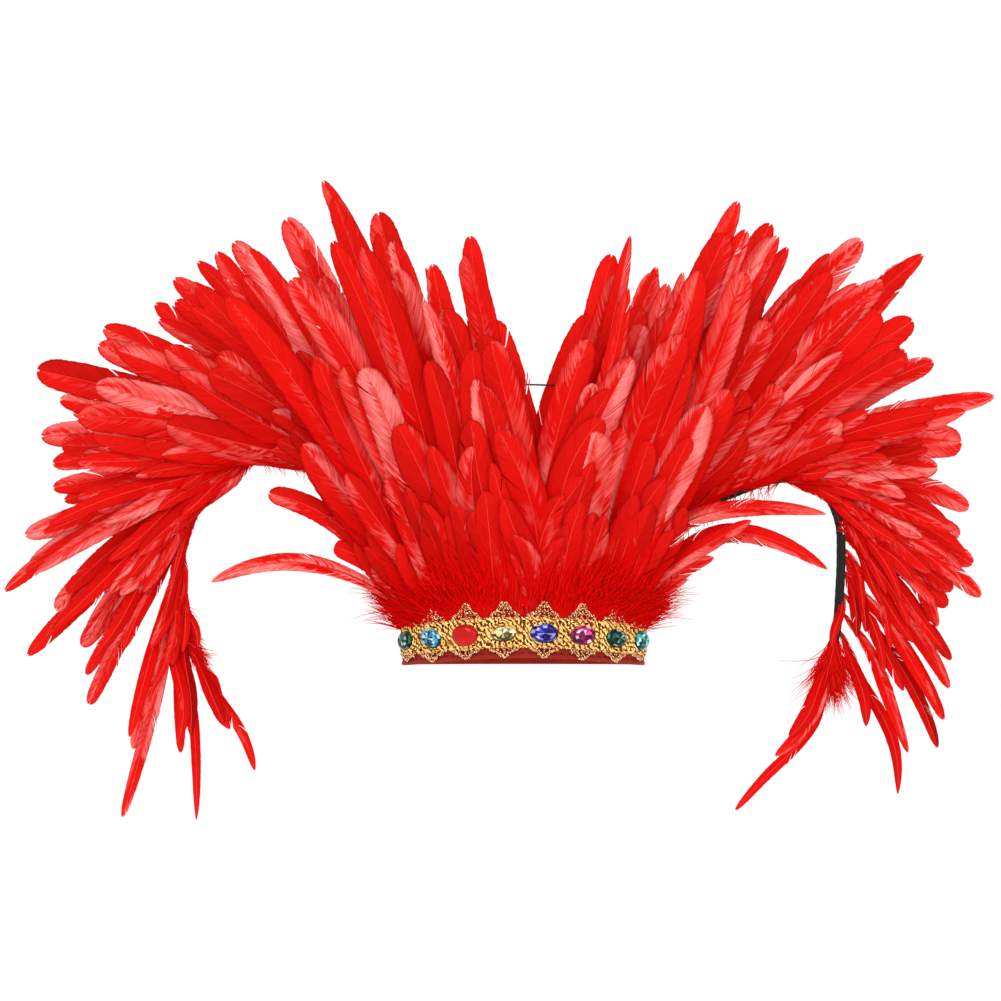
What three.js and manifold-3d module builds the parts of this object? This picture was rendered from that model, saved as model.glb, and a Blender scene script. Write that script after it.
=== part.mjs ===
import * as THREE from 'three';
import { mergeVertices } from 'three/addons/utils/BufferGeometryUtils.js';
import Module from 'manifold-3d';

// Feather headdress in millimetres, +Z up, its front towards -Y.
// The origin is the middle of the head opening, level with the headband's lower edge.

const wasm = await Module();
wasm.setup();

// Clearance between pieces that touch
const GAP = 0.3;
// Corners of a fused shape that lie closer than this are made one
const FUSE_TOLERANCE = 0.03;

// Headband: an oval ring of fabric, its front lifted into a low arch
const BAND_HEIGHT = 24;
const BAND_THICKNESS = 2.4;
const BAND_FRONT_RADIUS = 90;
const BAND_FRONT_HALF_ANGLE = rad(50);
const BAND_CORNER_RADIUS = 48;
const BAND_SIDE_LENGTH = 36;
const BAND_ARCH = 5;
const BAND_ARCH_HALF_LENGTH = 105;
const BAND_STEP = 13;

// Gold lace: a gimp strip with a fan above and below each stone
const LACE_THICKNESS = 1.4;
const LACE_REPEAT = 25.3;
const LACE_STRIP_BOTTOM = 7;
const LACE_STRIP_TOP = 25.5;
const LACE_TOP_FAN = 11;
const LACE_BOTTOM_FAN = 6.5;
const LACE_END_FAN_SHARE = 0.55;
const LACE_FAN_HALF_WIDTH = 10.5;
const LACE_HOLE_SIDES = 5;
const LACE_BACK_ROOM = 0.2;
// The fan's scalloped edge from its middle to its foot
const FAN_EDGE = [
  { out: 0.12, rise: 1 },
  { out: 0.34, rise: 0.86 },
  { out: 0.58, rise: 0.36 },
  { out: 0.76, rise: 0.42 },
  { out: 1, rise: 0 },
];

// Stones: ovals with a flat back, a girdle, a crown of facets and a table
const STONE_HEIGHT_ON_BAND = 15.8;
const STONE_SIDES = 12;
const STONE_GIRDLE = 0.9;
const STONE_CROWN = 3.2;
const STONE_TABLE_SHARE = 0.58;

// Wing wires wrapped in tape
const WIRE_RADIUS = 2.2;
const WIRE_SIDES = 6;
const WIRE_STEPS = 23;
const WIRE_FOOT_ANGLE = rad(58);
const WIRE_FOOT_ROOM = 0.8;
const WIRE_FOOT_BOTTOM = 2;
const WIRE_FOOT_TOP = 42;
const WING_SWEEP = 0.2;

// Sewing tapes that the plumes are fused to
const TAPE_THICKNESS = 1.8;
const TAPE_WIDTH = 7;
const TAPE_OUTWARD = 2.2;
const TAPE_STEP = 22;
const CROWN_HALF_ANGLE = rad(37);
const CROWN_BACK_TAPE_DROP = 2;
const CROWN_BACK_ROOM = 0.8;
// Past the crown's end its surface turns flat within about this length
const CROWN_FLATTEN = 8;
// A crown plume follows the band's curve near its root and by half farther up
const CROWN_FOLLOW_FROM = 30;
const CROWN_FOLLOW_TO = 90;
const CROWN_FOLLOW_LEAST = 0.5;
// The left half leans forward and the right half back, so that they cross freely at the middle
const CROWN_PART = 0.03;
const TAPE_END = 3.5;
// How far a tape runs on before its first plume and after its last, as shares of their pitch
const TAPE_BEFORE = 0.02;
const TAPE_AFTER = 0.28;

// Plume blade: width share of a blunt and of a sharp plume, and thickness, along its length
const BLADE = [
  { along: 0, blunt: 0.24, sharp: 0.24, thick: 1.5 },
  { along: 0.22, blunt: 0.6, sharp: 0.55, thick: 1.4 },
  { along: 0.55, blunt: 1, sharp: 1, thick: 1.3 },
  { along: 0.84, blunt: 1.06, sharp: 0.74, thick: 1.1 },
  { along: 0.965, blunt: 0.72, sharp: 0.3, thick: 0.8 },
];

// Rows of plumes: way is -1 in front of the wire and 1 behind it, reaches are the shares of the
// distance to the outline that its plumes take in turn, and the flares are how far they part
// from the row's surface, for each 100 mm of length far from the root
const ROWS = [
  { name: 'back', way: 1, reaches: [1], shift: 0, flare: 10, crownFlare: 9, crownShingle: 0.2 },
  { name: 'front', way: -1, reaches: [0.86, 0.62], shift: 0.2, flare: 10, crownFlare: 11, crownShingle: 0.4 },
];
const LEAST_FRONT_WIDTH = 15;
// How far each plume overlaps the next one, in depth for each millimetre along the wire
const SHINGLE_NEAR = 0.2;
const SHINGLE_FAR = 0.06;
const SHINGLE_NEAR_LENGTH = 20;

// Outline plumes from the notch outwards: where the tip is, the blade's width, how far it
// bows as a share of its length, and how blunt its tip is (0 sharp, 1 round)
const LEFT_CROWN = [
  { x: -22, z: 223, width: 23, bow: 0.17, blunt: 0.8 },
  { x: -35, z: 278, width: 18, bow: 0.04, blunt: 0.6 },
  { x: -64, z: 259, width: 11, bow: 0.08, blunt: 0.1 },
  { x: -95, z: 295, width: 22, bow: 0.05, blunt: 0.8 },
  { x: -131, z: 316, width: 17, bow: 0.07, blunt: 0.4 },
  { x: -155, z: 291, width: 21, bow: 0.08, blunt: 0.8 },
];
const LEFT_WING = [
  { x: -197, z: 288, width: 17, bow: 0.08, blunt: 0.6 },
  { x: -222, z: 275, width: 14, bow: 0.08, blunt: 0.3 },
  { x: -238, z: 263, width: 16, bow: 0.08, blunt: 0.5 },
  { x: -251, z: 246, width: 15, bow: 0.09, blunt: 0.5 },
  { x: -287, z: 230, width: 18, bow: 0.09, blunt: 0.6 },
  { x: -334, z: 202, width: 21, bow: 0.1, blunt: 0.9 },
  { x: -317, z: 181, width: 16, bow: 0.06, blunt: 0.5 },
  { x: -330, z: 156, width: 18, bow: 0.1, blunt: 0.6 },
  { x: -321, z: 137, width: 16, bow: 0.05, blunt: 0.5 },
  { x: -320, z: 120, width: 15, bow: 0.04, blunt: 0.4 },
  { x: -340, z: 88, width: 16, bow: 0.03, blunt: 0.4 },
  { x: -337, z: 67, width: 14, bow: 0.03, blunt: 0.3 },
  { x: -354, z: 50, width: 12, bow: 0.02, blunt: 0.1 },
  { x: -317, z: 37, width: 15, bow: 0.03, blunt: 0.5 },
  { x: -337, z: 6, width: 13, bow: 0.02, blunt: 0.1 },
  { x: -298, z: 12, width: 14, bow: 0.04, blunt: 0.4 },
  { x: -295, z: -7, width: 13, bow: 0.04, blunt: 0.5 },
  { x: -293, z: -27, width: 14, bow: 0.05, blunt: 0.7 },
  { x: -262, z: -57, width: 13, bow: 0.02, blunt: 0.4 },
  { x: -270, z: -103, width: 12, bow: -0.05, blunt: 0.3 },
  { x: -229, z: -59, width: 11, bow: 0, blunt: 0.3 },
  { x: -218, z: -104, width: 9, bow: -0.05, blunt: 0 },
  { x: -196, z: -41, width: 10, bow: 0, blunt: 0.2 },
  { x: -178, z: -70, width: 9, bow: -0.06, blunt: 0.2 },
];
const RIGHT_CROWN = [
  { x: 44, z: 229, width: 22, bow: 0.14, blunt: 0.6 },
  { x: 58, z: 269, width: 19, bow: 0.05, blunt: 0.7 },
  { x: 70, z: 281, width: 15, bow: 0.04, blunt: 0.1 },
  { x: 87, z: 260, width: 15, bow: 0.06, blunt: 0.4 },
  { x: 104, z: 256, width: 14, bow: 0.06, blunt: 0.3 },
  { x: 140, z: 302, width: 18, bow: 0.06, blunt: 0.5 },
];
const RIGHT_WING = [
  { x: 169, z: 300, width: 18, bow: 0.06, blunt: 0.5 },
  { x: 180, z: 283, width: 15, bow: 0.06, blunt: 0.1 },
  { x: 210, z: 279, width: 16, bow: 0.08, blunt: 0.4 },
  { x: 232, z: 290, width: 19, bow: 0.08, blunt: 0.6 },
  { x: 238, z: 258, width: 16, bow: 0.08, blunt: 0.4 },
  { x: 275, z: 281, width: 16, bow: 0.05, blunt: 0.1 },
  { x: 266, z: 234, width: 19, bow: 0.09, blunt: 0.7 },
  { x: 280, z: 206, width: 17, bow: 0.08, blunt: 0.4 },
  { x: 323, z: 183, width: 16, bow: 0.13, blunt: 0 },
  { x: 299, z: 151, width: 21, bow: 0.1, blunt: 0.9 },
  { x: 281, z: 133, width: 16, bow: 0.08, blunt: 0.5 },
  { x: 303, z: 106, width: 15, bow: 0.1, blunt: 0.4 },
  { x: 296, z: 87, width: 15, bow: 0.06, blunt: 0.5 },
  { x: 305, z: 68, width: 15, bow: 0.06, blunt: 0.4 },
  { x: 310, z: 46, width: 13, bow: 0.06, blunt: 0.1 },
  { x: 286, z: 39, width: 14, bow: 0.06, blunt: 0.3 },
  { x: 289, z: 3, width: 14, bow: 0.1, blunt: 0.4 },
  { x: 287, z: -16, width: 14, bow: 0.1, blunt: 0.3 },
  { x: 283, z: -37, width: 13, bow: 0.1, blunt: 0.4 },
  { x: 279, z: -56, width: 12, bow: 0.12, blunt: 0.3 },
  { x: 258, z: -59, width: 11, bow: 0.12, blunt: 0.2 },
  { x: 251, z: -87, width: 11, bow: 0.12, blunt: 0 },
  { x: 176, z: -47, width: 9, bow: 0.06, blunt: 0.2 },
  { x: 140, z: -96, width: 9, bow: 0.2, blunt: 0.3 },
];

// Side plumes at the ends of the band, from the lowest to the highest
const LEFT_SIDE = [
  { x: -100, z: 56, width: 9, bow: 0.14, blunt: 0.2 },
  { x: -203, z: 54, width: 12, bow: 0.34, blunt: 0.1 },
  { x: -112, z: 78, width: 11, bow: 0.12, blunt: 0.4 },
  { x: -128, z: 96, width: 12, bow: 0.14, blunt: 0.3 },
  { x: -166, z: 112, width: 14, bow: 0.2, blunt: 0.9 },
];
const RIGHT_SIDE = [
  { x: 107, z: 56, width: 10, bow: 0.14, blunt: 0.2 },
  { x: 124, z: 70, width: 11, bow: 0.16, blunt: 0.3 },
  { x: 198, z: 62, width: 13, bow: 0.6, blunt: 0.2 },
  { x: 148, z: 94, width: 12, bow: 0.16, blunt: 0.4 },
  { x: 197, z: 98, width: 12, bow: 0.5, blunt: 0.2 },
];
const SIDE_FROM_ANGLE = rad(51);
const SIDE_TO_ANGLE = rad(64);
const SIDE_LEAN = -0.02;
const SIDE_LAYER = -0.05;
const SIDE_TAPE_WIDTH = 10;
const SIDE_ROOT_HEIGHT = 8;

// Course of each wing's wire after its foot in the band, seen from the front
const LEFT_WIRE = [
  { x: -76, z: 70 },
  { x: -90, z: 97 },
  { x: -108, z: 119 },
  { x: -130, z: 134 },
  { x: -153, z: 141 },
  { x: -174, z: 140 },
  { x: -193, z: 131 },
  { x: -209, z: 116 },
  { x: -219, z: 97 },
  { x: -226, z: 77 },
  { x: -228, z: 56 },
  { x: -226, z: 33 },
  { x: -219, z: 15 },
  { x: -212, z: 2 },
];
const RIGHT_WIRE = [
  { x: 78, z: 66 },
  { x: 96, z: 86 },
  { x: 119, z: 103 },
  { x: 143, z: 114 },
  { x: 168, z: 122 },
  { x: 188, z: 121 },
  { x: 201, z: 112 },
  { x: 209, z: 94 },
  { x: 210, z: 72 },
  { x: 209, z: 50 },
  { x: 207, z: 26 },
  { x: 201, z: -2 },
];

// Stretches of a wing's plumes, by their place in the wing's table
const STRETCHES = [
  { name: 'inner', from: 0, to: 7 },
  { name: 'crest', from: 8, to: 15 },
  { name: 'droop', from: 16, to: 23 },
];

// Brace thread across the notch, from behind the left crown's first plume to before the right's
const THREAD_RADIUS = 0.6;
const THREAD_SIDES = 6;
const THREAD_HEIGHT = 181;
const THREAD_ROOM = 1;

const COLOURS = {
  band: { color: 0x9c1f26, roughness: 0.8, metalness: 0 },
  lace: { color: 0xe0a040, roughness: 0.4, metalness: 0.85 },
  plume: { color: 0xdc1010, roughness: 0.6, metalness: 0 },
  tape: { color: 0x15100f, roughness: 0.75, metalness: 0 },
  thread: { color: 0x4a1218, roughness: 0.8, metalness: 0 },
};
const STONES = [
  { name: 'stone_green_left', color: 0x0a5c48, long: 17.5, tall: 12.5, tilt: 0.1, smooth: false },
  { name: 'stone_light_blue', color: 0x4fb2d6, long: 17.5, tall: 12, tilt: -0.35, smooth: false },
  { name: 'stone_red', color: 0xd01818, long: 18, tall: 14, tilt: 0, smooth: true },
  { name: 'stone_champagne', color: 0xe8d48a, long: 16, tall: 10.5, tilt: 0.05, smooth: false },
  { name: 'stone_violet_blue', color: 0x2c2fb4, long: 18, tall: 12.5, tilt: 0, smooth: false },
  { name: 'stone_pink', color: 0xd02c7c, long: 18, tall: 12.5, tilt: 0.06, smooth: false },
  { name: 'stone_green_right', color: 0x0c4f40, long: 17, tall: 12, tilt: 0, smooth: false },
  { name: 'stone_turquoise', color: 0x2fb8b4, long: 17, tall: 12.5, tilt: 0.1, smooth: false },
];

function rad(degrees) {
  return degrees * Math.PI / 180;
}

// Solids and geometry

function toSolid(geometry) {
  const bare = geometry.clone();
  bare.deleteAttribute('normal');
  bare.deleteAttribute('uv');
  const merged = mergeVertices(bare, 1e-4);
  return new wasm.Manifold(new wasm.Mesh({
    numProp: 3,
    vertProperties: Float32Array.from(merged.attributes.position.array),
    triVerts: Uint32Array.from(merged.index.array),
  }));
}

function toGeometry(solid) {
  const mesh = solid.getMesh();
  const geometry = new THREE.BufferGeometry();
  geometry.setAttribute('position', new THREE.BufferAttribute(mesh.vertProperties, 3));
  geometry.setIndex(new THREE.BufferAttribute(mesh.triVerts, 1));
  geometry.computeVertexNormals();
  return geometry;
}

// Joins closed shapes into one body, without the slivers that a joint may leave
function fuse(geometries) {
  const joined = geometries.map(toSolid).reduce((whole, next) => whole.add(next));
  const bodies = joined.decompose().sort((a, b) => b.volume() - a.volume());
  return toGeometry(bodies[0].simplify(FUSE_TOLERANCE));
}

// Skins rings of equal point counts, each wound anticlockwise as seen from the next ring.
// A tip closes the last ring to a point, and a closed skin joins its last ring to its first.
function skin(rings, { tip = null, closed = false } = {}) {
  const sides = rings[0].length;
  const points = rings.flat();
  const index = [];
  const ringCount = closed ? rings.length : rings.length - 1;
  for (let ring = 0; ring < ringCount; ring += 1) {
    const here = ring * sides;
    const there = ((ring + 1) % rings.length) * sides;
    for (let side = 0; side < sides; side += 1) {
      const next = (side + 1) % sides;
      index.push(here + side, here + next, there + side);
      index.push(there + side, here + next, there + next);
    }
  }
  const last = (rings.length - 1) * sides;
  for (let side = 1; !closed && side < sides - 1; side += 1) {
    index.push(0, side + 1, side);
    if (!tip) {
      index.push(last, last + side, last + side + 1);
    }
  }
  if (tip) {
    points.push(tip);
    for (let side = 0; side < sides; side += 1) {
      index.push(last + side, last + (side + 1) % sides, points.length - 1);
    }
  }
  const geometry = new THREE.BufferGeometry().setFromPoints(points);
  geometry.setIndex(index);
  return geometry;
}

function tube(curve, radius, sides, steps) {
  const section = new THREE.Shape();
  section.absarc(0, 0, radius, 0, Math.PI * 2);
  const corners = section.getSpacedPoints(sides).slice(0, sides);
  return new THREE.ExtrudeGeometry(new THREE.Shape(corners), { steps, extrudePath: curve });
}

function mesh(name, geometry, look) {
  const piece = new THREE.Mesh(geometry, new THREE.MeshStandardMaterial({ ...look, flatShading: true }));
  piece.name = name;
  return piece;
}

// The band's oval, walked from the middle of the front towards the right of the picture.
// Returns the point, the outward direction and the heading at that length along the outer face.
function bandAt(length) {
  const side = length < 0 ? -1 : 1;
  const backRadius = bandHalfWidth();
  const pieces = [
    { radius: BAND_FRONT_RADIUS, long: BAND_FRONT_RADIUS * BAND_FRONT_HALF_ANGLE },
    { radius: BAND_CORNER_RADIUS, long: BAND_CORNER_RADIUS * (Math.PI / 2 - BAND_FRONT_HALF_ANGLE) },
    { radius: Infinity, long: BAND_SIDE_LENGTH },
    { radius: backRadius, long: backRadius * Math.PI / 2 },
  ];
  const place = new THREE.Vector2(0, bandFront());
  let heading = 0;
  let left = Math.abs(length);
  for (const piece of pieces) {
    const go = Math.min(left, piece.long);
    const turn = go / piece.radius;
    const chord = turn > 0 ? 2 * piece.radius * Math.sin(turn / 2) : go;
    place.x += chord * Math.cos(heading + turn / 2);
    place.y += chord * Math.sin(heading + turn / 2);
    heading += turn;
    left -= go;
  }
  const out = new THREE.Vector2(side * Math.sin(heading), -Math.cos(heading));
  return { x: side * place.x, y: place.y, out, heading: side * heading };
}

function bandHalfWidth() {
  const reach = Math.sin(BAND_FRONT_HALF_ANGLE);
  return BAND_FRONT_RADIUS * reach + BAND_CORNER_RADIUS * (1 - reach);
}

function bandFront() {
  const reach = Math.cos(BAND_FRONT_HALF_ANGLE);
  const front = BAND_FRONT_RADIUS * (1 - reach) + BAND_CORNER_RADIUS * reach;
  return -(front + BAND_SIDE_LENGTH + bandHalfWidth()) / 2;
}

function bandHalfLength() {
  const quarter = Math.PI / 2;
  const front = BAND_FRONT_RADIUS * BAND_FRONT_HALF_ANGLE;
  const corner = BAND_CORNER_RADIUS * (quarter - BAND_FRONT_HALF_ANGLE);
  return front + corner + BAND_SIDE_LENGTH + bandHalfWidth() * quarter;
}

// How far the arch lifts the band's edges at a length from the front
function archAt(length) {
  const share = Math.min(Math.abs(length) / BAND_ARCH_HALF_LENGTH, 1);
  return BAND_ARCH * (1 + Math.cos(Math.PI * share)) / 2;
}

// A point that stands outward of the band's outer face by depth, at a height over its lower edge
function onBand(length, depth, height) {
  const spot = bandAt(length);
  const x = spot.x + spot.out.x * depth;
  const y = spot.y + spot.out.y * depth;
  return new THREE.Vector3(x, y, archAt(length) + height);
}

function bandLengthAtAngle(angle) {
  return Math.sign(angle) * BAND_FRONT_RADIUS * Math.min(Math.abs(angle), BAND_FRONT_HALF_ANGLE)
    + Math.sign(angle) * BAND_CORNER_RADIUS * Math.max(Math.abs(angle) - BAND_FRONT_HALF_ANGLE, 0);
}

// A strip that follows the band between two lengths, as rings of four corners
function bandStrip(from, to, inner, outer, bottom, top, step) {
  const count = Math.max(Math.round((to - from) / step), 1);
  return Array.from({ length: count + 1 }, (_, i) => {
    const length = from + (to - from) * i / count;
    return [
      onBand(length, inner, bottom),
      onBand(length, inner, top),
      onBand(length, outer, top),
      onBand(length, outer, bottom),
    ];
  });
}

function headband() {
  const half = bandHalfLength();
  const rings = bandStrip(-half, half, -BAND_THICKNESS, 0, 0, BAND_HEIGHT, BAND_STEP);
  rings.pop();
  return mesh('headband', skin(rings, { closed: true }), COLOURS.band);
}

// Lace: flat halves of a repeat, side by side, bent round the band

function laceFanShare(repeat) {
  const last = STONES.length - 1;
  return repeat === 0 || repeat === last ? LACE_END_FAN_SHARE : 1;
}

// Half a repeat, from the middle of its stone to the joint with the next one
function laceHalf(share) {
  const outline = new THREE.Shape();
  outline.moveTo(0, LACE_STRIP_BOTTOM - LACE_BOTTOM_FAN * share);
  for (const { out, rise } of FAN_EDGE) {
    outline.lineTo(out * LACE_FAN_HALF_WIDTH, LACE_STRIP_BOTTOM - rise * LACE_BOTTOM_FAN * share);
  }
  outline.lineTo(LACE_REPEAT / 2, LACE_STRIP_BOTTOM);
  outline.lineTo(LACE_REPEAT / 2, LACE_STRIP_TOP);
  for (const { out, rise } of [...FAN_EDGE].reverse()) {
    outline.lineTo(out * LACE_FAN_HALF_WIDTH, LACE_STRIP_TOP + rise * LACE_TOP_FAN * share);
  }
  outline.lineTo(0, LACE_STRIP_TOP + LACE_TOP_FAN * share);
  outline.closePath();
  for (const hole of laceHoles(share)) {
    outline.holes.push(laceHole(hole));
  }
  return outline;
}

function laceHoles(share) {
  const top = LACE_STRIP_TOP;
  const bottom = LACE_STRIP_BOTTOM;
  const joint = LACE_REPEAT / 2;
  return [
    { u: 1.6, z: top + 4.6 * share, wide: 0.9, tall: 2.2 * share },
    { u: 5, z: top + 1.4 * share, wide: 1.6, tall: 1.5 * share },
    { u: 1.9, z: bottom - 1.6 * share, wide: 1.1, tall: 1.5 * share },
    { u: joint - 1.9, z: top - 3.6, wide: 1.1, tall: 1.3 },
  ];
}

function laceHole({ u, z, wide, tall }) {
  const hole = new THREE.Path();
  hole.absellipse(u, z, wide, tall, 0, Math.PI * 2, true);
  const corners = hole.getSpacedPoints(LACE_HOLE_SIDES).slice(0, LACE_HOLE_SIDES);
  return new THREE.Path(corners);
}

// Stands a flat half up along the band: its x goes along the band and its z out of it
function bendRound(geometry, along, way) {
  const flat = geometry.attributes.position;
  const inner = GAP + LACE_BACK_ROOM;
  for (let i = 0; i < flat.count; i += 1) {
    const length = Math.round((along + way * flat.getX(i)) * 1000) / 1000;
    const point = onBand(length, inner + flat.getZ(i), flat.getY(i));
    flat.setXYZ(i, point.x, point.y, point.z);
  }
  for (let i = 0; way < 0 && i < flat.count; i += 3) {
    swapCorners(flat, i + 1, i + 2);
  }
  return geometry;
}

function swapCorners(positions, a, b) {
  const first = new THREE.Vector3().fromBufferAttribute(positions, a);
  const second = new THREE.Vector3().fromBufferAttribute(positions, b);
  positions.setXYZ(a, second.x, second.y, second.z);
  positions.setXYZ(b, first.x, first.y, first.z);
}

function laceTrim() {
  const options = { depth: LACE_THICKNESS, bevelEnabled: false };
  const halves = STONES.flatMap((_, repeat) => [-1, 1].map((way) => {
    const slab = new THREE.ExtrudeGeometry(laceHalf(laceFanShare(repeat)), options);
    return bendRound(slab, stoneLength(repeat), way);
  }));
  return mesh('gold_lace_trim', fuse(halves), COLOURS.lace);
}

function stoneLength(repeat) {
  return (repeat - (STONES.length - 1) / 2) * LACE_REPEAT;
}

// A flat-backed stone in its own frame: x along the band, y up, z out
function stoneGeometry({ long, tall, smooth }) {
  const domed = [
    { size: 1, rise: 0 },
    { size: 1, rise: STONE_GIRDLE },
    { size: 0.84, rise: STONE_GIRDLE + STONE_CROWN * 0.55 },
    { size: 0.55, rise: STONE_GIRDLE + STONE_CROWN * 0.88 },
    { size: 0.22, rise: STONE_GIRDLE + STONE_CROWN },
  ];
  const cut = [
    { size: 1, rise: 0 },
    { size: 1, rise: STONE_GIRDLE },
    { size: 0.84, rise: STONE_GIRDLE + STONE_CROWN * 0.5 },
    { size: STONE_TABLE_SHARE, rise: STONE_GIRDLE + STONE_CROWN },
  ];
  const rings = (smooth ? domed : cut).map(({ size, rise }, level) => {
    return Array.from({ length: STONE_SIDES }, (_, i) => {
      const twist = !smooth && level === 2 ? 0.5 : 0;
      const angle = (i + twist) * Math.PI * 2 / STONE_SIDES;
      const x = Math.cos(angle) * size * long / 2;
      return new THREE.Vector3(x, Math.sin(angle) * size * tall / 2, rise);
    });
  });
  return skin(rings);
}

function stone(row, repeat) {
  const piece = mesh(row.name, stoneGeometry(row), { color: row.color, roughness: 0.1, metalness: 0 });
  const lift = GAP + LACE_BACK_ROOM + LACE_THICKNESS + GAP;
  piece.position.copy(onBand(stoneLength(repeat), lift, STONE_HEIGHT_ON_BAND));
  piece.geometry.rotateZ(row.tilt);
  piece.rotation.set(Math.PI / 2, 0, bandAt(stoneLength(repeat)).heading, 'ZXY');
  return piece;
}

// Wires

function footPoint(side, z) {
  const inside = -(BAND_THICKNESS + WIRE_FOOT_ROOM + WIRE_RADIUS);
  const point = onBand(side * bandLengthAtAngle(WIRE_FOOT_ANGLE), inside, 0);
  return new THREE.Vector3(point.x, point.y, z);
}

function wireCurve(side, course) {
  const foot = footPoint(side, 0);
  const out = course.map(({ x, z }) => {
    const y = foot.y + WING_SWEEP * (Math.abs(x) - Math.abs(foot.x));
    return new THREE.Vector3(x, y, z);
  });
  const rise = [WIRE_FOOT_BOTTOM, WIRE_FOOT_TOP / 2, WIRE_FOOT_TOP].map((z) => footPoint(side, z));
  return new THREE.CatmullRomCurve3([...rise, ...out], false, 'centripetal');
}

// Lengths along the wire where its plumes start and end
function plumeSpan(curve) {
  const whole = curve.getLength();
  return { from: WIRE_FOOT_TOP + TAPE_END, to: whole - TAPE_END };
}

function onWire(curve, length) {
  const share = THREE.MathUtils.clamp(length / curve.getLength(), 0, 1);
  return { at: curve.getPointAt(share), along: curve.getTangentAt(share) };
}

// Plumes

// The plume's middle line from its root to its tip, bowed up and outwards, in x and z
function spine({ root, tip, bow, side }) {
  const start = new THREE.Vector2(root.x, root.z);
  const end = new THREE.Vector2(tip.x, tip.z);
  const go = end.clone().sub(start);
  const middle = start.clone().addScaledVector(go, 0.5);
  middle.add(new THREE.Vector2(-go.y, go.x).multiplyScalar(bow * side));
  return new THREE.QuadraticBezierCurve(start, middle, end);
}

// A closed blade of rhombus sections along a spine. depthAt gives its y at a point and a length.
function plume(line, width, blunt, rootWay, root, depthAt) {
  const reach = line.getLength();
  const place = (point, along) => new THREE.Vector3(point.x, depthAt(point, along * reach), point.y);
  const rings = BLADE.map((station) => {
    const { along, thick } = station;
    const here = line.getPoint(along);
    const way = line.getTangent(along);
    const half = THREE.MathUtils.lerp(station.sharp, station.blunt, blunt) * width / 2;
    const across = new THREE.Vector2(way.y, -way.x).multiplyScalar(half);
    const front = new THREE.Vector3(0, -thick / 2, 0);
    const middle = along === 0 ? root : place(here, along);
    const right = along === 0
      ? root.clone().addScaledVector(rootWay, half)
      : place(here.clone().add(across), along);
    const left = along === 0
      ? root.clone().addScaledVector(rootWay, -half)
      : place(here.clone().sub(across), along);
    return [right, middle.clone().sub(front), left, middle.clone().add(front)];
  });
  return skin(rings, { tip: place(line.getPoint(1), 1) });
}

// The table row at a place between two rows
function between(table, place) {
  const low = THREE.MathUtils.clamp(Math.floor(place), 0, table.length - 2);
  const share = THREE.MathUtils.clamp(place - low, 0, 1);
  const mixed = {};
  for (const key of Object.keys(table[low])) {
    mixed[key] = THREE.MathUtils.lerp(table[low][key], table[low + 1][key], share);
  }
  return mixed;
}

// What a plume of a row aims at: its share of the distance to the outline at that place
function aim(table, place, root, row, turn) {
  const goal = between(table, place);
  const reach = row.reaches[turn % row.reaches.length];
  const least = row.reaches.length > 1 ? LEAST_FRONT_WIDTH : 0;
  const tip = {
    x: root.x + (goal.x - root.x) * reach,
    z: root.z + (goal.z - root.z) * reach,
  };
  return { ...goal, tip, width: Math.max(goal.width, least) };
}

// How far a plume lies over the next ones after going onward along the wire
function shingleAt(onward) {
  const near = Math.min(onward, SHINGLE_NEAR_LENGTH);
  return SHINGLE_NEAR * near + SHINGLE_FAR * (onward - near);
}

function flareAt(flare, length) {
  const share = length / 100;
  return flare * share * share / (1 + share);
}

// Depth of a crown row's surface at x: the band's curve, which turns flat past the crown's end
function crownDepth(x, middle) {
  const radius = BAND_FRONT_RADIUS + middle;
  const end = radius * Math.sin(CROWN_HALF_ANGLE);
  const inside = Math.min(Math.abs(x), end);
  const past = Math.abs(x) - inside;
  const curved = bandFront() + BAND_FRONT_RADIUS - Math.sqrt(radius * radius - inside * inside);
  return curved + Math.tan(CROWN_HALF_ANGLE) * CROWN_FLATTEN * (1 - Math.exp(-past / CROWN_FLATTEN));
}

function crownFollow(length) {
  const share = (length - CROWN_FOLLOW_FROM) / (CROWN_FOLLOW_TO - CROWN_FOLLOW_FROM);
  return THREE.MathUtils.lerp(1, CROWN_FOLLOW_LEAST, THREE.MathUtils.clamp(share, 0, 1));
}

// Where a crown row's tape lies: its middle from the band's outer face, and its lower edge
function crownSeat(row) {
  const inside = TAPE_THICKNESS / 2;
  if (row.way < 0) {
    return { middle: -inside, bottom: BAND_HEIGHT + GAP };
  }
  const drop = TAPE_WIDTH + CROWN_BACK_TAPE_DROP;
  return { middle: -(BAND_THICKNESS + CROWN_BACK_ROOM + inside), bottom: BAND_HEIGHT - drop };
}

function crownPlume({ side, inset, crown }, row, turn) {
  const { middle, bottom } = crownSeat(row);
  const last = crown.length - 1;
  const pitch = (bandLengthAtAngle(CROWN_HALF_ANGLE) - inset - TAPE_END) / last;
  const place = Math.min(turn + row.shift, last);
  const length = side * (inset + pitch * place);
  const root = onBand(length, middle, bottom + TAPE_WIDTH / 2);
  const { heading } = bandAt(length);
  const rootWay = new THREE.Vector3(Math.cos(heading), Math.sin(heading), 0);
  const goal = aim(crown, place, root, row, turn);
  const inner = 1 - place / last;
  const flareShare = row.way > 0 ? inner : -1;
  const depthAt = (point, along) => {
    const follow = (crownDepth(point.x, middle) - crownDepth(root.x, middle)) * crownFollow(along);
    const parted = side * CROWN_PART * inner * along;
    const stepped = row.way * row.crownShingle * shingleAt(side * (point.x - root.x));
    return root.y + follow + flareAt(row.crownFlare, along) * flareShare + parted + stepped;
  };
  const line = spine({ root, tip: goal.tip, bow: goal.bow, side });
  return { line, depthAt, goal, rootWay, root };
}

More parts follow.
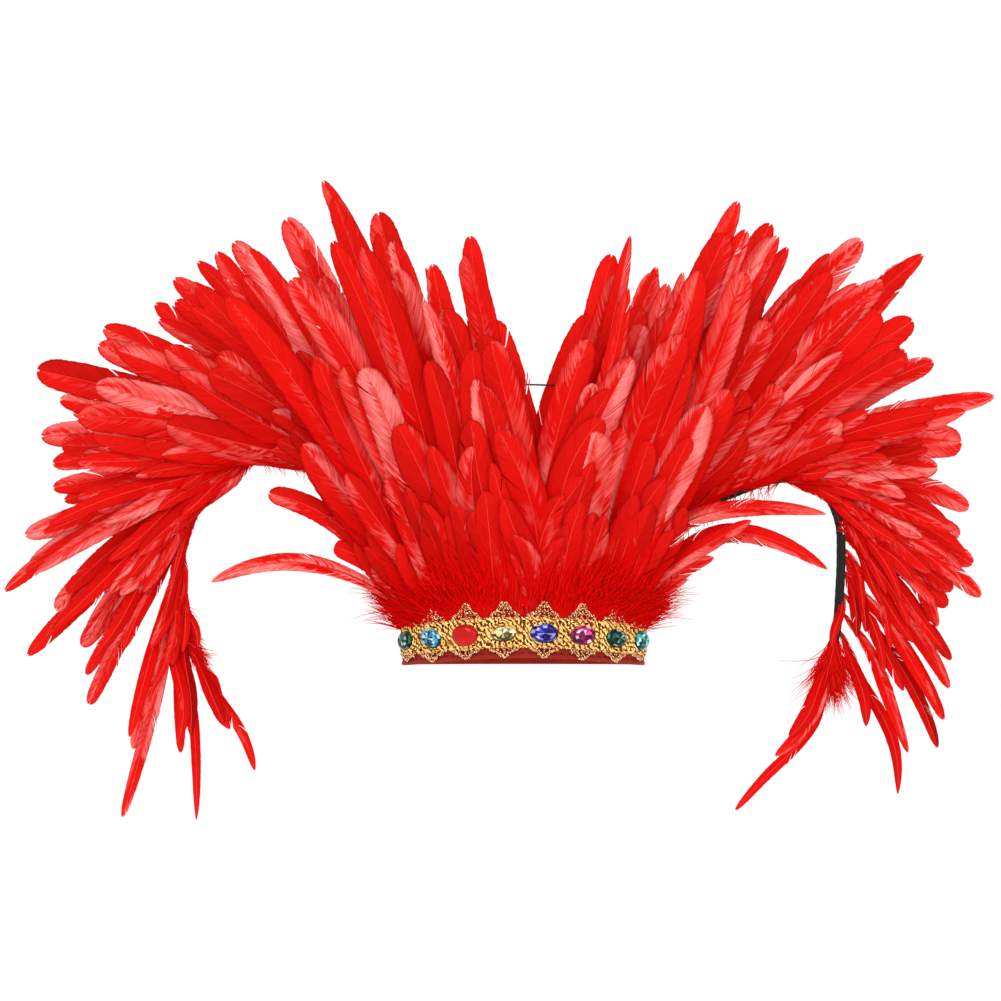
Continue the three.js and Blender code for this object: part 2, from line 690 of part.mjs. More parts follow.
// Crown rows: the front tape stands on the band's edge, the back one is sewn inside the band
function crownRow(half, row) {
  const { middle, bottom } = crownSeat(row);
  const { side, inset, crown } = half;
  const reach = bandLengthAtAngle(CROWN_HALF_ANGLE);
  const ends = side < 0 ? [-reach, -inset / 2] : [inset / 2, reach];
  const faces = [middle - TAPE_THICKNESS / 2, middle + TAPE_THICKNESS / 2];
  const tape = skin(bandStrip(...ends, ...faces, bottom, bottom + TAPE_WIDTH, BAND_STEP));
  const plumes = crown.map((_, turn) => {
    const { line, depthAt, goal, rootWay, root } = crownPlume(half, row, turn);
    return plume(line, goal.width, goal.blunt, rootWay, root, depthAt);
  });
  return fuse([tape, ...plumes]);
}

// The direction away from the inside of the arch
function outward(side, along) {
  return new THREE.Vector3(-side * along.z, 0, side * along.x).normalize();
}

// A tape that lies along the wire, in front of it or behind it
function wingTape(side, curve, from, to, depth) {
  const count = Math.max(Math.round((to - from) / TAPE_STEP), 2);
  return Array.from({ length: count + 1 }, (_, i) => {
    const { at, along } = onWire(curve, from + (to - from) * i / count);
    const across = new THREE.Vector3(along.z, 0, -along.x).normalize().multiplyScalar(TAPE_WIDTH / 2);
    const thick = new THREE.Vector3(0, TAPE_THICKNESS / 2, 0);
    const middle = at.clone().addScaledVector(outward(side, along), TAPE_OUTWARD);
    middle.y += depth;
    return [
      middle.clone().add(across).sub(thick),
      middle.clone().add(across).add(thick),
      middle.clone().sub(across).add(thick),
      middle.clone().sub(across).sub(thick),
    ];
  });
}

function wingDepth(side, x) {
  const foot = footPoint(side, 0);
  return foot.y + WING_SWEEP * (Math.abs(x) - Math.abs(foot.x));
}

function wingRow(side, table, curve, row, stretch) {
  const { from, to } = plumeSpan(curve);
  const pitch = (to - from) / (table.length - 1);
  const depth = row.way * (WIRE_RADIUS + GAP + TAPE_THICKNESS / 2);
  const first = Math.max(from + pitch * (stretch.from - TAPE_BEFORE), from - TAPE_END);
  const last = Math.min(from + pitch * (stretch.to + TAPE_AFTER), to + TAPE_END);
  const tape = skin(wingTape(side, curve, first, last, depth));
  const plumes = Array.from({ length: stretch.to - stretch.from + 1 }, (_, turn) => {
    const place = Math.min(stretch.from + turn + row.shift, table.length - 1);
    const { at, along } = onWire(curve, from + pitch * place);
    const root = at.clone().addScaledVector(outward(side, along), TAPE_OUTWARD);
    root.y += depth;
    const course = new THREE.Vector2(along.x, along.z).normalize();
    const start = new THREE.Vector2(root.x, root.z);
    const goal = aim(table, place, root, row, turn);
    const depthAt = (point, length) => {
      const onward = point.clone().sub(start).dot(course);
      return wingDepth(side, point.x) + depth + row.way * (shingleAt(onward) + flareAt(row.flare, length));
    };
    const line = spine({ root, tip: goal.tip, bow: goal.bow, side });
    const rootWay = new THREE.Vector3(course.x, 0, course.y).multiplyScalar(side);
    return plume(line, goal.width, goal.blunt, rootWay, root, depthAt);
  });
  return fuse([tape, ...plumes]);
}

function sideRow(side, table) {
  const from = bandLengthAtAngle(SIDE_FROM_ANGLE);
  const to = bandLengthAtAngle(SIDE_TO_ANGLE);
  const bottom = BAND_HEIGHT + GAP;
  const top = bottom + SIDE_TAPE_WIDTH;
  const ends = side < 0 ? [-to - TAPE_END, -from] : [from, to + TAPE_END];
  const tape = skin(bandStrip(...ends, -TAPE_THICKNESS, 0, bottom, top, BAND_STEP));
  const plumes = table.map((goal, place) => {
    const length = side * (to - (to - from) * place / (table.length - 1));
    const root = onBand(length, -TAPE_THICKNESS / 2, bottom + SIDE_ROOT_HEIGHT);
    const { heading } = bandAt(length);
    const rootWay = new THREE.Vector3(Math.cos(heading), Math.sin(heading), 0);
    const lean = SIDE_LEAN + SIDE_LAYER * (place % 2);
    const depthAt = (_point, along) => root.y + lean * along;
    const line = spine({ root, tip: goal, bow: goal.bow, side });
    return plume(line, goal.width, goal.blunt, rootWay, root, depthAt);
  });
  return fuse([tape, ...plumes]);
}

// The point beside a crown half's first back plume at the thread's height
function threadEnd(half) {
  const { line, depthAt } = crownPlume(half, ROWS[0], 0);
  const points = line.getSpacedPoints(200);
  const place = points.findIndex((point) => point.y >= THREAD_HEIGHT);
  const along = line.getLength() * place / 200;
  const y = depthAt(points[place], along) - half.side * (THREAD_RADIUS + THREAD_ROOM);
  return new THREE.Vector3(points[place].x, y, THREAD_HEIGHT);
}

function braceThread(left, right) {
  const curve = new THREE.LineCurve3(threadEnd(left), threadEnd(right));
  return mesh('brace_thread', tube(curve, THREAD_RADIUS, THREAD_SIDES, 1), COLOURS.thread);
}

const headdress = new THREE.Group();
headdress.add(headband());
headdress.add(laceTrim());
STONES.forEach((row, repeat) => headdress.add(stone(row, repeat)));

const LEFT = {
  name: 'left',
  side: -1,
  inset: 2,
  crown: LEFT_CROWN,
  wing: LEFT_WING,
  course: LEFT_WIRE,
  ends: LEFT_SIDE,
};
const RIGHT = {
  name: 'right',
  side: 1,
  inset: 9,
  crown: RIGHT_CROWN,
  wing: RIGHT_WING,
  course: RIGHT_WIRE,
  ends: RIGHT_SIDE,
};
for (const half of [LEFT, RIGHT]) {
  const { name, side, wing, course, ends } = half;
  const curve = wireCurve(side, course);
  headdress.add(mesh(`${name}_wing_wire`, tube(curve, WIRE_RADIUS, WIRE_SIDES, WIRE_STEPS), COLOURS.tape));
  headdress.add(mesh(`${name}_side_plumes`, sideRow(side, ends), COLOURS.plume));
  for (const row of ROWS) {
    headdress.add(mesh(`${name}_crown_${row.name}_row`, crownRow(half, row), COLOURS.plume));
    for (const stretch of STRETCHES) {
      const solid = wingRow(side, wing, curve, row, stretch);
      headdress.add(mesh(`${name}_wing_${stretch.name}_${row.name}_row`, solid, COLOURS.plume));
    }
  }
}
headdress.add(braceThread(LEFT, RIGHT));

export default headdress;
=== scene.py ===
"""Looks of a carnival feather headdress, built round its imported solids.

Lengths are millimetres in the row's frame, +Z up and the front towards -Y, until a mesh is made.
"""
import logging
import math
from dataclasses import dataclass, field
from enum import Enum
from typing import Callable, NamedTuple, Sequence

import bmesh
import bpy
import numpy as np
from mathutils import Matrix, Vector


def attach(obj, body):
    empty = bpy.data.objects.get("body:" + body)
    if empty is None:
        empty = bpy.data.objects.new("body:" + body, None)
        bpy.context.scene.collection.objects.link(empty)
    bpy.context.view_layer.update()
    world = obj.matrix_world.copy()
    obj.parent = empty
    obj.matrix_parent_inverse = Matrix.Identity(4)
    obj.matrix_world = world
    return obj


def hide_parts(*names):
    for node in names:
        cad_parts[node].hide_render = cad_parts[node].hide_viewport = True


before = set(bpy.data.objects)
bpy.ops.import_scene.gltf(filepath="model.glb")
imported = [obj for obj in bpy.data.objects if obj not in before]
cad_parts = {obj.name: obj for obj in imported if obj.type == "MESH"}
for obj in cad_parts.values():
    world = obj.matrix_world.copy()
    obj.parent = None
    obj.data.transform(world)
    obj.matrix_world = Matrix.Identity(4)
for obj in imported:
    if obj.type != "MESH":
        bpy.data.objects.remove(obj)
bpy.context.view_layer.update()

BODY = "root"
MM = 0.001
log = logging.getLogger("headdress")

Depth = Callable[[np.ndarray, np.ndarray], np.ndarray]


class Tip(NamedTuple):
    """Where an outline plume's tip is, its blade's width, its bow and how blunt it is."""

    x: float
    z: float
    width: float
    bow: float
    blunt: float


class Stone(NamedTuple):
    """A stone's node, colour, length and height, tilt and whether it is a smooth dome."""

    node: str
    colour: int
    long: float
    tall: float
    tilt: float
    smooth: bool


LEFT_CROWN = (
    Tip(-22, 223, 23, 0.17, 0.8), Tip(-35, 278, 18, 0.04, 0.6), Tip(-64, 259, 11, 0.08, 0.1),
    Tip(-95, 295, 22, 0.05, 0.8), Tip(-131, 316, 17, 0.07, 0.4), Tip(-155, 291, 21, 0.08, 0.8),
)
LEFT_WING = (
    Tip(-197, 288, 17, 0.08, 0.6), Tip(-222, 275, 14, 0.08, 0.3), Tip(-238, 263, 16, 0.08, 0.5),
    Tip(-251, 246, 15, 0.09, 0.5), Tip(-287, 230, 18, 0.09, 0.6), Tip(-334, 202, 21, 0.1, 0.9),
    Tip(-317, 181, 16, 0.06, 0.5), Tip(-330, 156, 18, 0.1, 0.6), Tip(-321, 137, 16, 0.05, 0.5),
    Tip(-320, 120, 15, 0.04, 0.4), Tip(-340, 88, 16, 0.03, 0.4), Tip(-337, 67, 14, 0.03, 0.3),
    Tip(-354, 50, 12, 0.02, 0.1), Tip(-317, 37, 15, 0.03, 0.5), Tip(-337, 6, 13, 0.02, 0.1),
    Tip(-298, 12, 14, 0.04, 0.4), Tip(-295, -7, 13, 0.04, 0.5), Tip(-293, -27, 14, 0.05, 0.7),
    Tip(-262, -57, 13, 0.02, 0.4), Tip(-270, -103, 12, -0.05, 0.3), Tip(-229, -59, 11, 0, 0.3),
    Tip(-218, -104, 9, -0.05, 0), Tip(-196, -41, 10, 0, 0.2), Tip(-178, -70, 9, -0.06, 0.2),
)
RIGHT_CROWN = (
    Tip(44, 229, 22, 0.14, 0.6), Tip(58, 269, 19, 0.05, 0.7), Tip(70, 281, 15, 0.04, 0.1),
    Tip(87, 260, 15, 0.06, 0.4), Tip(104, 256, 14, 0.06, 0.3), Tip(140, 302, 18, 0.06, 0.5),
)
RIGHT_WING = (
    Tip(169, 300, 18, 0.06, 0.5), Tip(180, 283, 15, 0.06, 0.1), Tip(210, 279, 16, 0.08, 0.4),
    Tip(232, 290, 19, 0.08, 0.6), Tip(238, 258, 16, 0.08, 0.4), Tip(275, 281, 16, 0.05, 0.1),
    Tip(266, 234, 19, 0.09, 0.7), Tip(280, 206, 17, 0.08, 0.4), Tip(323, 183, 16, 0.13, 0),
    Tip(299, 151, 21, 0.1, 0.9), Tip(281, 133, 16, 0.08, 0.5), Tip(303, 106, 15, 0.1, 0.4),
    Tip(296, 87, 15, 0.06, 0.5), Tip(305, 68, 15, 0.06, 0.4), Tip(310, 46, 13, 0.06, 0.1),
    Tip(286, 39, 14, 0.06, 0.3), Tip(289, 3, 14, 0.1, 0.4), Tip(287, -16, 14, 0.1, 0.3),
    Tip(283, -37, 13, 0.1, 0.4), Tip(279, -56, 12, 0.12, 0.3), Tip(258, -59, 11, 0.12, 0.2),
    Tip(251, -87, 11, 0.12, 0), Tip(176, -47, 9, 0.06, 0.2), Tip(140, -96, 9, 0.2, 0.3),
)
LEFT_SIDE = (
    Tip(-100, 56, 9, 0.14, 0.2), Tip(-203, 54, 12, 0.34, 0.1), Tip(-112, 78, 11, 0.12, 0.4),
    Tip(-128, 96, 12, 0.14, 0.3), Tip(-166, 112, 14, 0.2, 0.9),
)
RIGHT_SIDE = (
    Tip(107, 56, 10, 0.14, 0.2), Tip(124, 70, 11, 0.16, 0.3), Tip(198, 62, 13, 0.6, 0.2),
    Tip(148, 94, 12, 0.16, 0.4), Tip(197, 98, 12, 0.5, 0.2),
)
LEFT_WIRE = (
    (-76, 70), (-90, 97), (-108, 119), (-130, 134), (-153, 141), (-174, 140), (-193, 131), (-209, 116),
    (-219, 97), (-226, 77), (-228, 56), (-226, 33), (-219, 15), (-212, 2),
)
RIGHT_WIRE = (
    (78, 66), (96, 86), (119, 103), (143, 114), (168, 122), (188, 121), (201, 112), (209, 94), (210, 72),
    (209, 50), (207, 26), (201, -2),
)
STONES = (
    Stone("stone_green_left", 0x0A5C48, 17.5, 12.5, 0.1, False),
    Stone("stone_light_blue", 0x4FB2D6, 17.5, 12, -0.35, False),
    Stone("stone_red", 0xD01818, 18, 14, 0, True),
    Stone("stone_champagne", 0xE8D48A, 16, 10.5, 0.05, False),
    Stone("stone_violet_blue", 0x2C2FB4, 18, 12.5, 0, False),
    Stone("stone_pink", 0xD02C7C, 18, 12.5, 0.06, False),
    Stone("stone_green_right", 0x0C4F40, 17, 12, 0, False),
    Stone("stone_turquoise", 0x2FB8B4, 17, 12.5, 0.1, False),
)


# Nodes and materials


def colour(code: int) -> tuple[float, float, float, float]:
    """Turns an sRGB hex value into a linear colour with full alpha."""
    shares = [(code >> shift & 255) / 255 for shift in (16, 8, 0)]
    linear = [s / 12.92 if s <= 0.04045 else ((s + 0.055) / 1.055) ** 2.4 for s in shares]
    return (*linear, 1.0)


def add_node(
    tree: bpy.types.NodeTree,
    kind: str,
    inputs: dict | None = None,
    stops: Sequence[tuple[float, int]] = (),
    **settings: object,
) -> bpy.types.Node:
    """Adds a node with its settings and links.

    Args:
        tree: The node tree it goes in.
        kind: The node's type.
        inputs: Socket names or places, with a value or the output that feeds each.
        stops: A colour ramp's places and sRGB colours.
        settings: The node's own properties.

    Returns:
        The new node.
    """
    node = tree.nodes.new(kind)
    for name, value in settings.items():
        setattr(node, name, value)
    for name, value in (inputs or {}).items():
        if isinstance(value, bpy.types.NodeSocket):
            tree.links.new(value, node.inputs[name])
        else:
            node.inputs[name].default_value = value
    for place, (position, code) in enumerate(stops):
        elements = node.color_ramp.elements
        element = elements[place] if place < 2 else elements.new(position)
        element.position = position
        element.color = colour(code)
    return node


def new_material(name: str) -> tuple[bpy.types.Material, bpy.types.NodeTree]:
    """Makes an empty node material.

    Args:
        name: The material's name.

    Returns:
        The material and its tree.
    """
    material = bpy.data.materials.new(name)
    material.use_nodes = True
    material.node_tree.nodes.clear()
    return material, material.node_tree


@dataclass(frozen=True)
class FeatherFinish:
    """Dyed cock feather: matt barbs in fine stripes; its pale pink patches are painted sheen, its darkest plumes
    painted shade, and some light goes through it.
    """

    name: str
    root: int
    middle: int
    tip: int
    painted_sheen: int
    stripe_mm: float = 1.1
    patches: float = 3.2
    translucent: float = 0.2

    def build(self) -> bpy.types.Material:
        """Makes the material. It reads the barbs' own map, in millimetres along the quill."""
        material, tree = new_material(self.name)
        barbs = add_node(tree, "ShaderNodeUVMap", uv_map="barbs")
        parts = add_node(tree, "ShaderNodeSeparateXYZ", {"Vector": barbs.outputs["UV"]})
        reach = add_node(tree, "ShaderNodeAttribute", attribute_name="reach")
        tone = add_node(tree, "ShaderNodeAttribute", attribute_name="tone")
        stripe_place = add_node(tree, "ShaderNodeCombineXYZ", {
            "X": add_node(tree, "ShaderNodeMath", {0: parts.outputs["X"], 1: 0.9}, operation="MULTIPLY").outputs[0],
            "Y": parts.outputs["Y"],
            "Z": add_node(tree, "ShaderNodeMath", {0: tone.outputs["Fac"], 1: 40.0}, operation="MULTIPLY").outputs[0],
        })
        stripes = add_node(tree, "ShaderNodeTexNoise", {
            "Vector": stripe_place.outputs[0], "Scale": 1 / self.stripe_mm, "Detail": 3.0, "Roughness": 0.65,
        })
        patch_place = add_node(tree, "ShaderNodeCombineXYZ", {
            "X": add_node(tree, "ShaderNodeMath", {0: parts.outputs["X"], 1: 1.3}, operation="MULTIPLY").outputs[0],
            "Y": add_node(tree, "ShaderNodeMath", {
                0: reach.outputs["Fac"], 1: self.patches,
            }, operation="MULTIPLY").outputs[0],
            "Z": add_node(tree, "ShaderNodeMath", {0: tone.outputs["Fac"], 1: 7.0}, operation="MULTIPLY").outputs[0],
        })
        patches = add_node(tree, "ShaderNodeTexNoise", {
            "Vector": patch_place.outputs[0], "Scale": 1.0, "Detail": 1.0,
        })
        along = add_node(tree, "ShaderNodeValToRGB", {"Fac": reach.outputs["Fac"]}, stops=(
            (0.0, self.root), (0.97, self.tip), (0.42, self.middle),
        ))
        # lit says where the pale pink painted sheen goes: by the plume's tone, the patch noise and the barb stripes.
        lit = add_node(tree, "ShaderNodeMapRange", {
            "Value": add_node(tree, "ShaderNodeMath", {
                0: tone.outputs["Fac"],
                1: add_node(tree, "ShaderNodeMath", {
                    0: patches.outputs["Fac"], 1: 3.6, 2: -1.05,
                }, operation="MULTIPLY_ADD").outputs[0],
            }, operation="MULTIPLY").outputs[0],
            "From Min": 0.2, "From Max": 1.05, "To Min": 0.0, "To Max": 1.0,
        })
        lined = add_node(tree, "ShaderNodeMapRange", {
            "Value": stripes.outputs["Fac"], "From Min": 0.32, "From Max": 0.56, "To Min": 0.45, "To Max": 1.1,
        })
        combed = add_node(tree, "ShaderNodeMath", {0: lit.outputs[0], 1: lined.outputs[0]}, operation="MULTIPLY")
        with_painted_sheen = add_node(tree, "ShaderNodeMixRGB", {
            "Fac": combed.outputs[0], "Color1": along.outputs["Color"], "Color2": colour(self.painted_sheen),
        })
        shade = add_node(tree, "ShaderNodeMapRange", {
            "Value": stripes.outputs["Fac"], "From Min": 0.3, "From Max": 0.62, "To Min": 0.76, "To Max": 1.06,
        })
        # Tone below nought darkens the colour: painted shade, deepest at the bottom of the droop.
        deep = add_node(tree, "ShaderNodeMapRange", {
            "Value": tone.outputs["Fac"], "From Min": -1.0, "From Max": 0.0, "To Min": 0.36, "To Max": 1.0,
        })
        darkened = add_node(tree, "ShaderNodeMath", {
            0: shade.outputs[0], 1: deep.outputs[0],
        }, operation="MULTIPLY")
        striped = add_node(tree, "ShaderNodeMixRGB", {
            "Fac": 1.0, "Color1": with_painted_sheen.outputs[0], "Color2": darkened.outputs[0],
        }, blend_type="MULTIPLY")
        relief = add_node(tree, "ShaderNodeBump", {
            "Height": stripes.outputs["Fac"], "Strength": 0.5, "Distance": 0.3 * MM,
        })
        edge = add_node(tree, "ShaderNodeMapRange", {
            "Value": add_node(tree, "ShaderNodeMath", {0: parts.outputs["X"]}, operation="ABSOLUTE").outputs[0],
            "From Min": 0.86, "From Max": 1.0, "To Min": 1.0, "To Max": 0.62,
        })
        edged = add_node(tree, "ShaderNodeMixRGB", {
            "Fac": 1.0, "Color1": striped.outputs[0], "Color2": edge.outputs[0],
        }, blend_type="MULTIPLY")
        surface = add_node(tree, "ShaderNodeBsdfPrincipled", {
            "Base Color": edged.outputs[0], "Roughness": 0.5, "IOR": 1.45, "Normal": relief.outputs[0],
            "Specular IOR Level": 0.015,
        })
        through = add_node(tree, "ShaderNodeBsdfTranslucent", {"Color": edged.outputs[0]})
        mixed = add_node(tree, "ShaderNodeMixShader", {
            "Fac": self.translucent, 1: surface.outputs[0], 2: through.outputs[0],
        })
        add_node(tree, "ShaderNodeOutputMaterial", {"Surface": mixed.outputs[0]})
        return material


@dataclass(frozen=True)
class QuillFinish:
    """Dyed quill: smooth horn, a little glossy, deep at its root and paler towards the tip."""

    name: str
    light: int
    dark: int

    def build(self) -> bpy.types.Material:
        """Makes the material. Its noise breaks the change from one colour to the other."""
        material, tree = new_material(self.name)
        where = add_node(tree, "ShaderNodeTexCoord")
        reach = add_node(tree, "ShaderNodeAttribute", attribute_name="reach")
        noise = add_node(tree, "ShaderNodeTexNoise", {
            "Vector": where.outputs["Object"], "Scale": 180.0, "Detail": 2.0,
        })
        place = add_node(tree, "ShaderNodeMath", {
            0: noise.outputs["Fac"], 1: 0.5, 2: reach.outputs["Fac"],
        }, operation="MULTIPLY_ADD")
        tint = add_node(tree, "ShaderNodeValToRGB", {"Fac": place.outputs[0]}, stops=(
            (0.5, self.dark), (1.1, self.light),
        ))
        surface = add_node(tree, "ShaderNodeBsdfPrincipled", {
            "Base Color": tint.outputs["Color"], "Roughness": 0.45, "IOR": 1.5, "Specular IOR Level": 0.15,
        })
        add_node(tree, "ShaderNodeOutputMaterial", {"Surface": surface.outputs[0]})
        return material


@dataclass(frozen=True)
class ClothFinish:
    """Plain woven cloth or tape: threads over and under, matt, with worn and shaded patches."""

    name: str
    light: int
    dark: int
    thread_mm: float
    roughness: float = 0.82
    relief: float = 0.6

    def build(self) -> bpy.types.Material:
        """Makes the material. Its threads are drawn coarse enough to show in a render."""
        material, tree = new_material(self.name)
        where = add_node(tree, "ShaderNodeTexCoord")
        scale = math.pi / (self.thread_mm * MM) / 10
        warp = add_node(tree, "ShaderNodeTexWave", {
            "Vector": where.outputs["Object"], "Scale": scale, "Distortion": 0.6, "Detail": 1.0,
        }, bands_direction="DIAGONAL")
        weft = add_node(tree, "ShaderNodeTexWave", {
            "Vector": where.outputs["Object"], "Scale": scale, "Distortion": 0.6, "Detail": 1.0,
        }, bands_direction="Z")
        weave = add_node(tree, "ShaderNodeMixRGB", {
            "Fac": 0.5, "Color1": warp.outputs["Color"], "Color2": weft.outputs["Color"],
        })
        patches = add_node(tree, "ShaderNodeTexNoise", {
            "Vector": where.outputs["Object"], "Scale": 45.0, "Detail": 3.0,
        })
        both = add_node(tree, "ShaderNodeMixRGB", {
            "Fac": 0.55, "Color1": patches.outputs["Fac"], "Color2": weave.outputs[0],
        })
        tint = add_node(tree, "ShaderNodeValToRGB", {"Fac": both.outputs[0]}, stops=(
            (0.25, self.dark), (0.7, self.light),
        ))
        bump = add_node(tree, "ShaderNodeBump", {
            "Height": weave.outputs[0], "Strength": self.relief, "Distance": 0.2 * MM,
        })
        surface = add_node(tree, "ShaderNodeBsdfPrincipled", {
            "Base Color": tint.outputs["Color"], "Roughness": self.roughness, "Normal": bump.outputs[0],
            "Specular IOR Level": 0.12, "Sheen Weight": 0.03, "Sheen Roughness": 0.5,
        })
        add_node(tree, "ShaderNodeOutputMaterial", {"Surface": surface.outputs[0]})
        return material


@dataclass(frozen=True)
class GoldThreadFinish:
    """Metallised gimp thread: bright gold wound over a core; the dark brown low in the gaps between its turns is
    painted shade.
    """

    name: str
    bright: int
    middle: int
    # gap: the colour low between the turns, painted shade.
    gap: int
    turn_mm: float
    roughness: float = 0.34

    def build(self) -> bpy.types.Material:
        """Makes the material. Its turns are drawn about twice as coarse as real ones, to show."""
        material, tree = new_material(self.name)
        where = add_node(tree, "ShaderNodeTexCoord")
        turned = add_node(tree, "ShaderNodeMapping", {
            "Vector": where.outputs["Object"], "Rotation": (0.0, 0.7, 0.0),
        })
        scale = math.pi / (self.turn_mm * MM) / 10
        turns = add_node(tree, "ShaderNodeTexWave", {
            "Vector": turned.outputs[0], "Scale": scale, "Distortion": 9.0, "Detail": 1.0, "Detail Scale": 1.5,
        }, bands_direction="X")
        grain = add_node(tree, "ShaderNodeTexNoise", {
            "Vector": where.outputs["Object"], "Scale": 620.0, "Detail": 2.0,
        })
        height = add_node(tree, "ShaderNodeMath", {
            0: turns.outputs["Fac"], 1: grain.outputs["Fac"],
        }, operation="MULTIPLY")
        # Low places between the turns take the gap's dark brown: painted shade.
        tint = add_node(tree, "ShaderNodeValToRGB", {"Fac": height.outputs[0]}, stops=(
            (0.05, self.gap), (0.38, self.bright), (0.17, self.middle),
        ))
        bump = add_node(tree, "ShaderNodeBump", {
            "Height": height.outputs[0], "Strength": 0.8, "Distance": 0.35 * MM,
        })
        surface = add_node(tree, "ShaderNodeBsdfPrincipled", {
            "Base Color": tint.outputs["Color"], "Metallic": 0.72, "Roughness": self.roughness,
            "Normal": bump.outputs[0],
        })
        add_node(tree, "ShaderNodeOutputMaterial", {"Surface": surface.outputs[0]})
        return material


@dataclass(frozen=True)
class AcrylicFinish:
    """Polished acrylic over foil, with a hard gloss; its deep colour at the rim is painted shade and the bright glints
    in some facets are painted glints.
    """

    name: str
    code: int

    def build(self) -> bpy.types.Material:
        """Makes the material. It reads each facet's own painted glint, from a dark painted shade through the stone's
        colour to near white.
        """
        material, tree = new_material(self.name)
        # deep is the dark painted shade of the facets with the least glint.
        deep = self.mixed(0x000000, 0.72)
        glint = add_node(tree, "ShaderNodeAttribute", attribute_name="glint")
        tint = add_node(tree, "ShaderNodeValToRGB", {"Fac": glint.outputs["Fac"]}, stops=(
            (0.1, deep), (0.9, self.mixed(0xFFFFFF, 0.85)), (0.5, self.code),
        ))
        surface = add_node(tree, "ShaderNodeBsdfPrincipled", {
            "Base Color": tint.outputs["Color"], "Metallic": 0.4, "Roughness": 0.14, "IOR": 1.49,
            "Specular IOR Level": 0.12, "Coat Weight": 0.12, "Coat Roughness": 0.03,
        })
        add_node(tree, "ShaderNodeOutputMaterial", {"Surface": surface.outputs[0]})
        return material

    def mixed(self, other: int, share: float) -> int:
        """The stone's colour mixed with another one, in sRGB."""
        parts = [int((self.code >> k & 255) * (1 - share) + (other >> k & 255) * share) for k in (16, 8, 0)]
        return parts[0] << 16 | parts[1] << 8 | parts[2]


# The band's path and the wires' paths, as in the solids


@dataclass(frozen=True)
class BandPath:
    """The headband's oval, walked along its outer face from the middle of the front."""

    height: float = 24.0
    thickness: float = 2.4
    front_radius: float = 90.0
    front_half_angle: float = math.radians(50)
    corner_radius: float = 48.0
    side_length: float = 36.0
    arch: float = 5.0
    arch_half_length: float = 105.0

    @property
    def half_width(self) -> float:
        """Half of the oval's width."""
        reach = math.sin(self.front_half_angle)
        return self.front_radius * reach + self.corner_radius * (1 - reach)

    @property
    def front(self) -> float:
        """The y of the front's outer face."""
        reach = math.cos(self.front_half_angle)
        bow = self.front_radius * (1 - reach) + self.corner_radius * reach
        return -(bow + self.side_length + self.half_width) / 2

    @property
    def half_length(self) -> float:
        """Half of the way round."""
        corner = self.corner_radius * (math.pi / 2 - self.front_half_angle)
        front = self.front_radius * self.front_half_angle
        return front + corner + self.side_length + self.half_width * math.pi / 2

    def at(self, length: float) -> tuple[float, float, Vector, float]:
        """Finds the place on the outer face at a length from the front.

        Args:
            length: Length along the face, positive towards +X.

        Returns:
            The x, the y, the outward direction and the heading.
        """
        side = -1 if length < 0 else 1
        pieces = (
            (self.front_radius, self.front_radius * self.front_half_angle),
            (self.corner_radius, self.corner_radius * (math.pi / 2 - self.front_half_angle)),
            (math.inf, self.side_length),
            (self.half_width, self.half_width * math.pi / 2),
        )
        x, y, heading, left = 0.0, self.front, 0.0, abs(length)
        for radius, long in pieces:
            go = min(left, long)
            turn = go / radius
            chord = 2 * radius * math.sin(turn / 2) if turn > 0 else go
            x += chord * math.cos(heading + turn / 2)
            y += chord * math.sin(heading + turn / 2)
            heading += turn
            left -= go
        return side * x, y, Vector((side * math.sin(heading), -math.cos(heading), 0)), side * heading

    def lift(self, length: float) -> float:
        """How far the arch lifts the band at a length."""
        share = min(abs(length) / self.arch_half_length, 1)
        return self.arch * (1 + math.cos(math.pi * share)) / 2

    def point(self, length: float, depth: float, height: float) -> Vector:
        """A point that stands out of the outer face by depth, at a height over the lower edge."""
        x, y, out, _ = self.at(length)
        return Vector((x + out.x * depth, y + out.y * depth, self.lift(length) + height))

    def length_at(self, angle: float) -> float:
        """The length at which the face has turned by a positive angle."""
        front = self.front_radius * min(angle, self.front_half_angle)
        return front + self.corner_radius * max(angle - self.front_half_angle, 0)


BAND = BandPath()


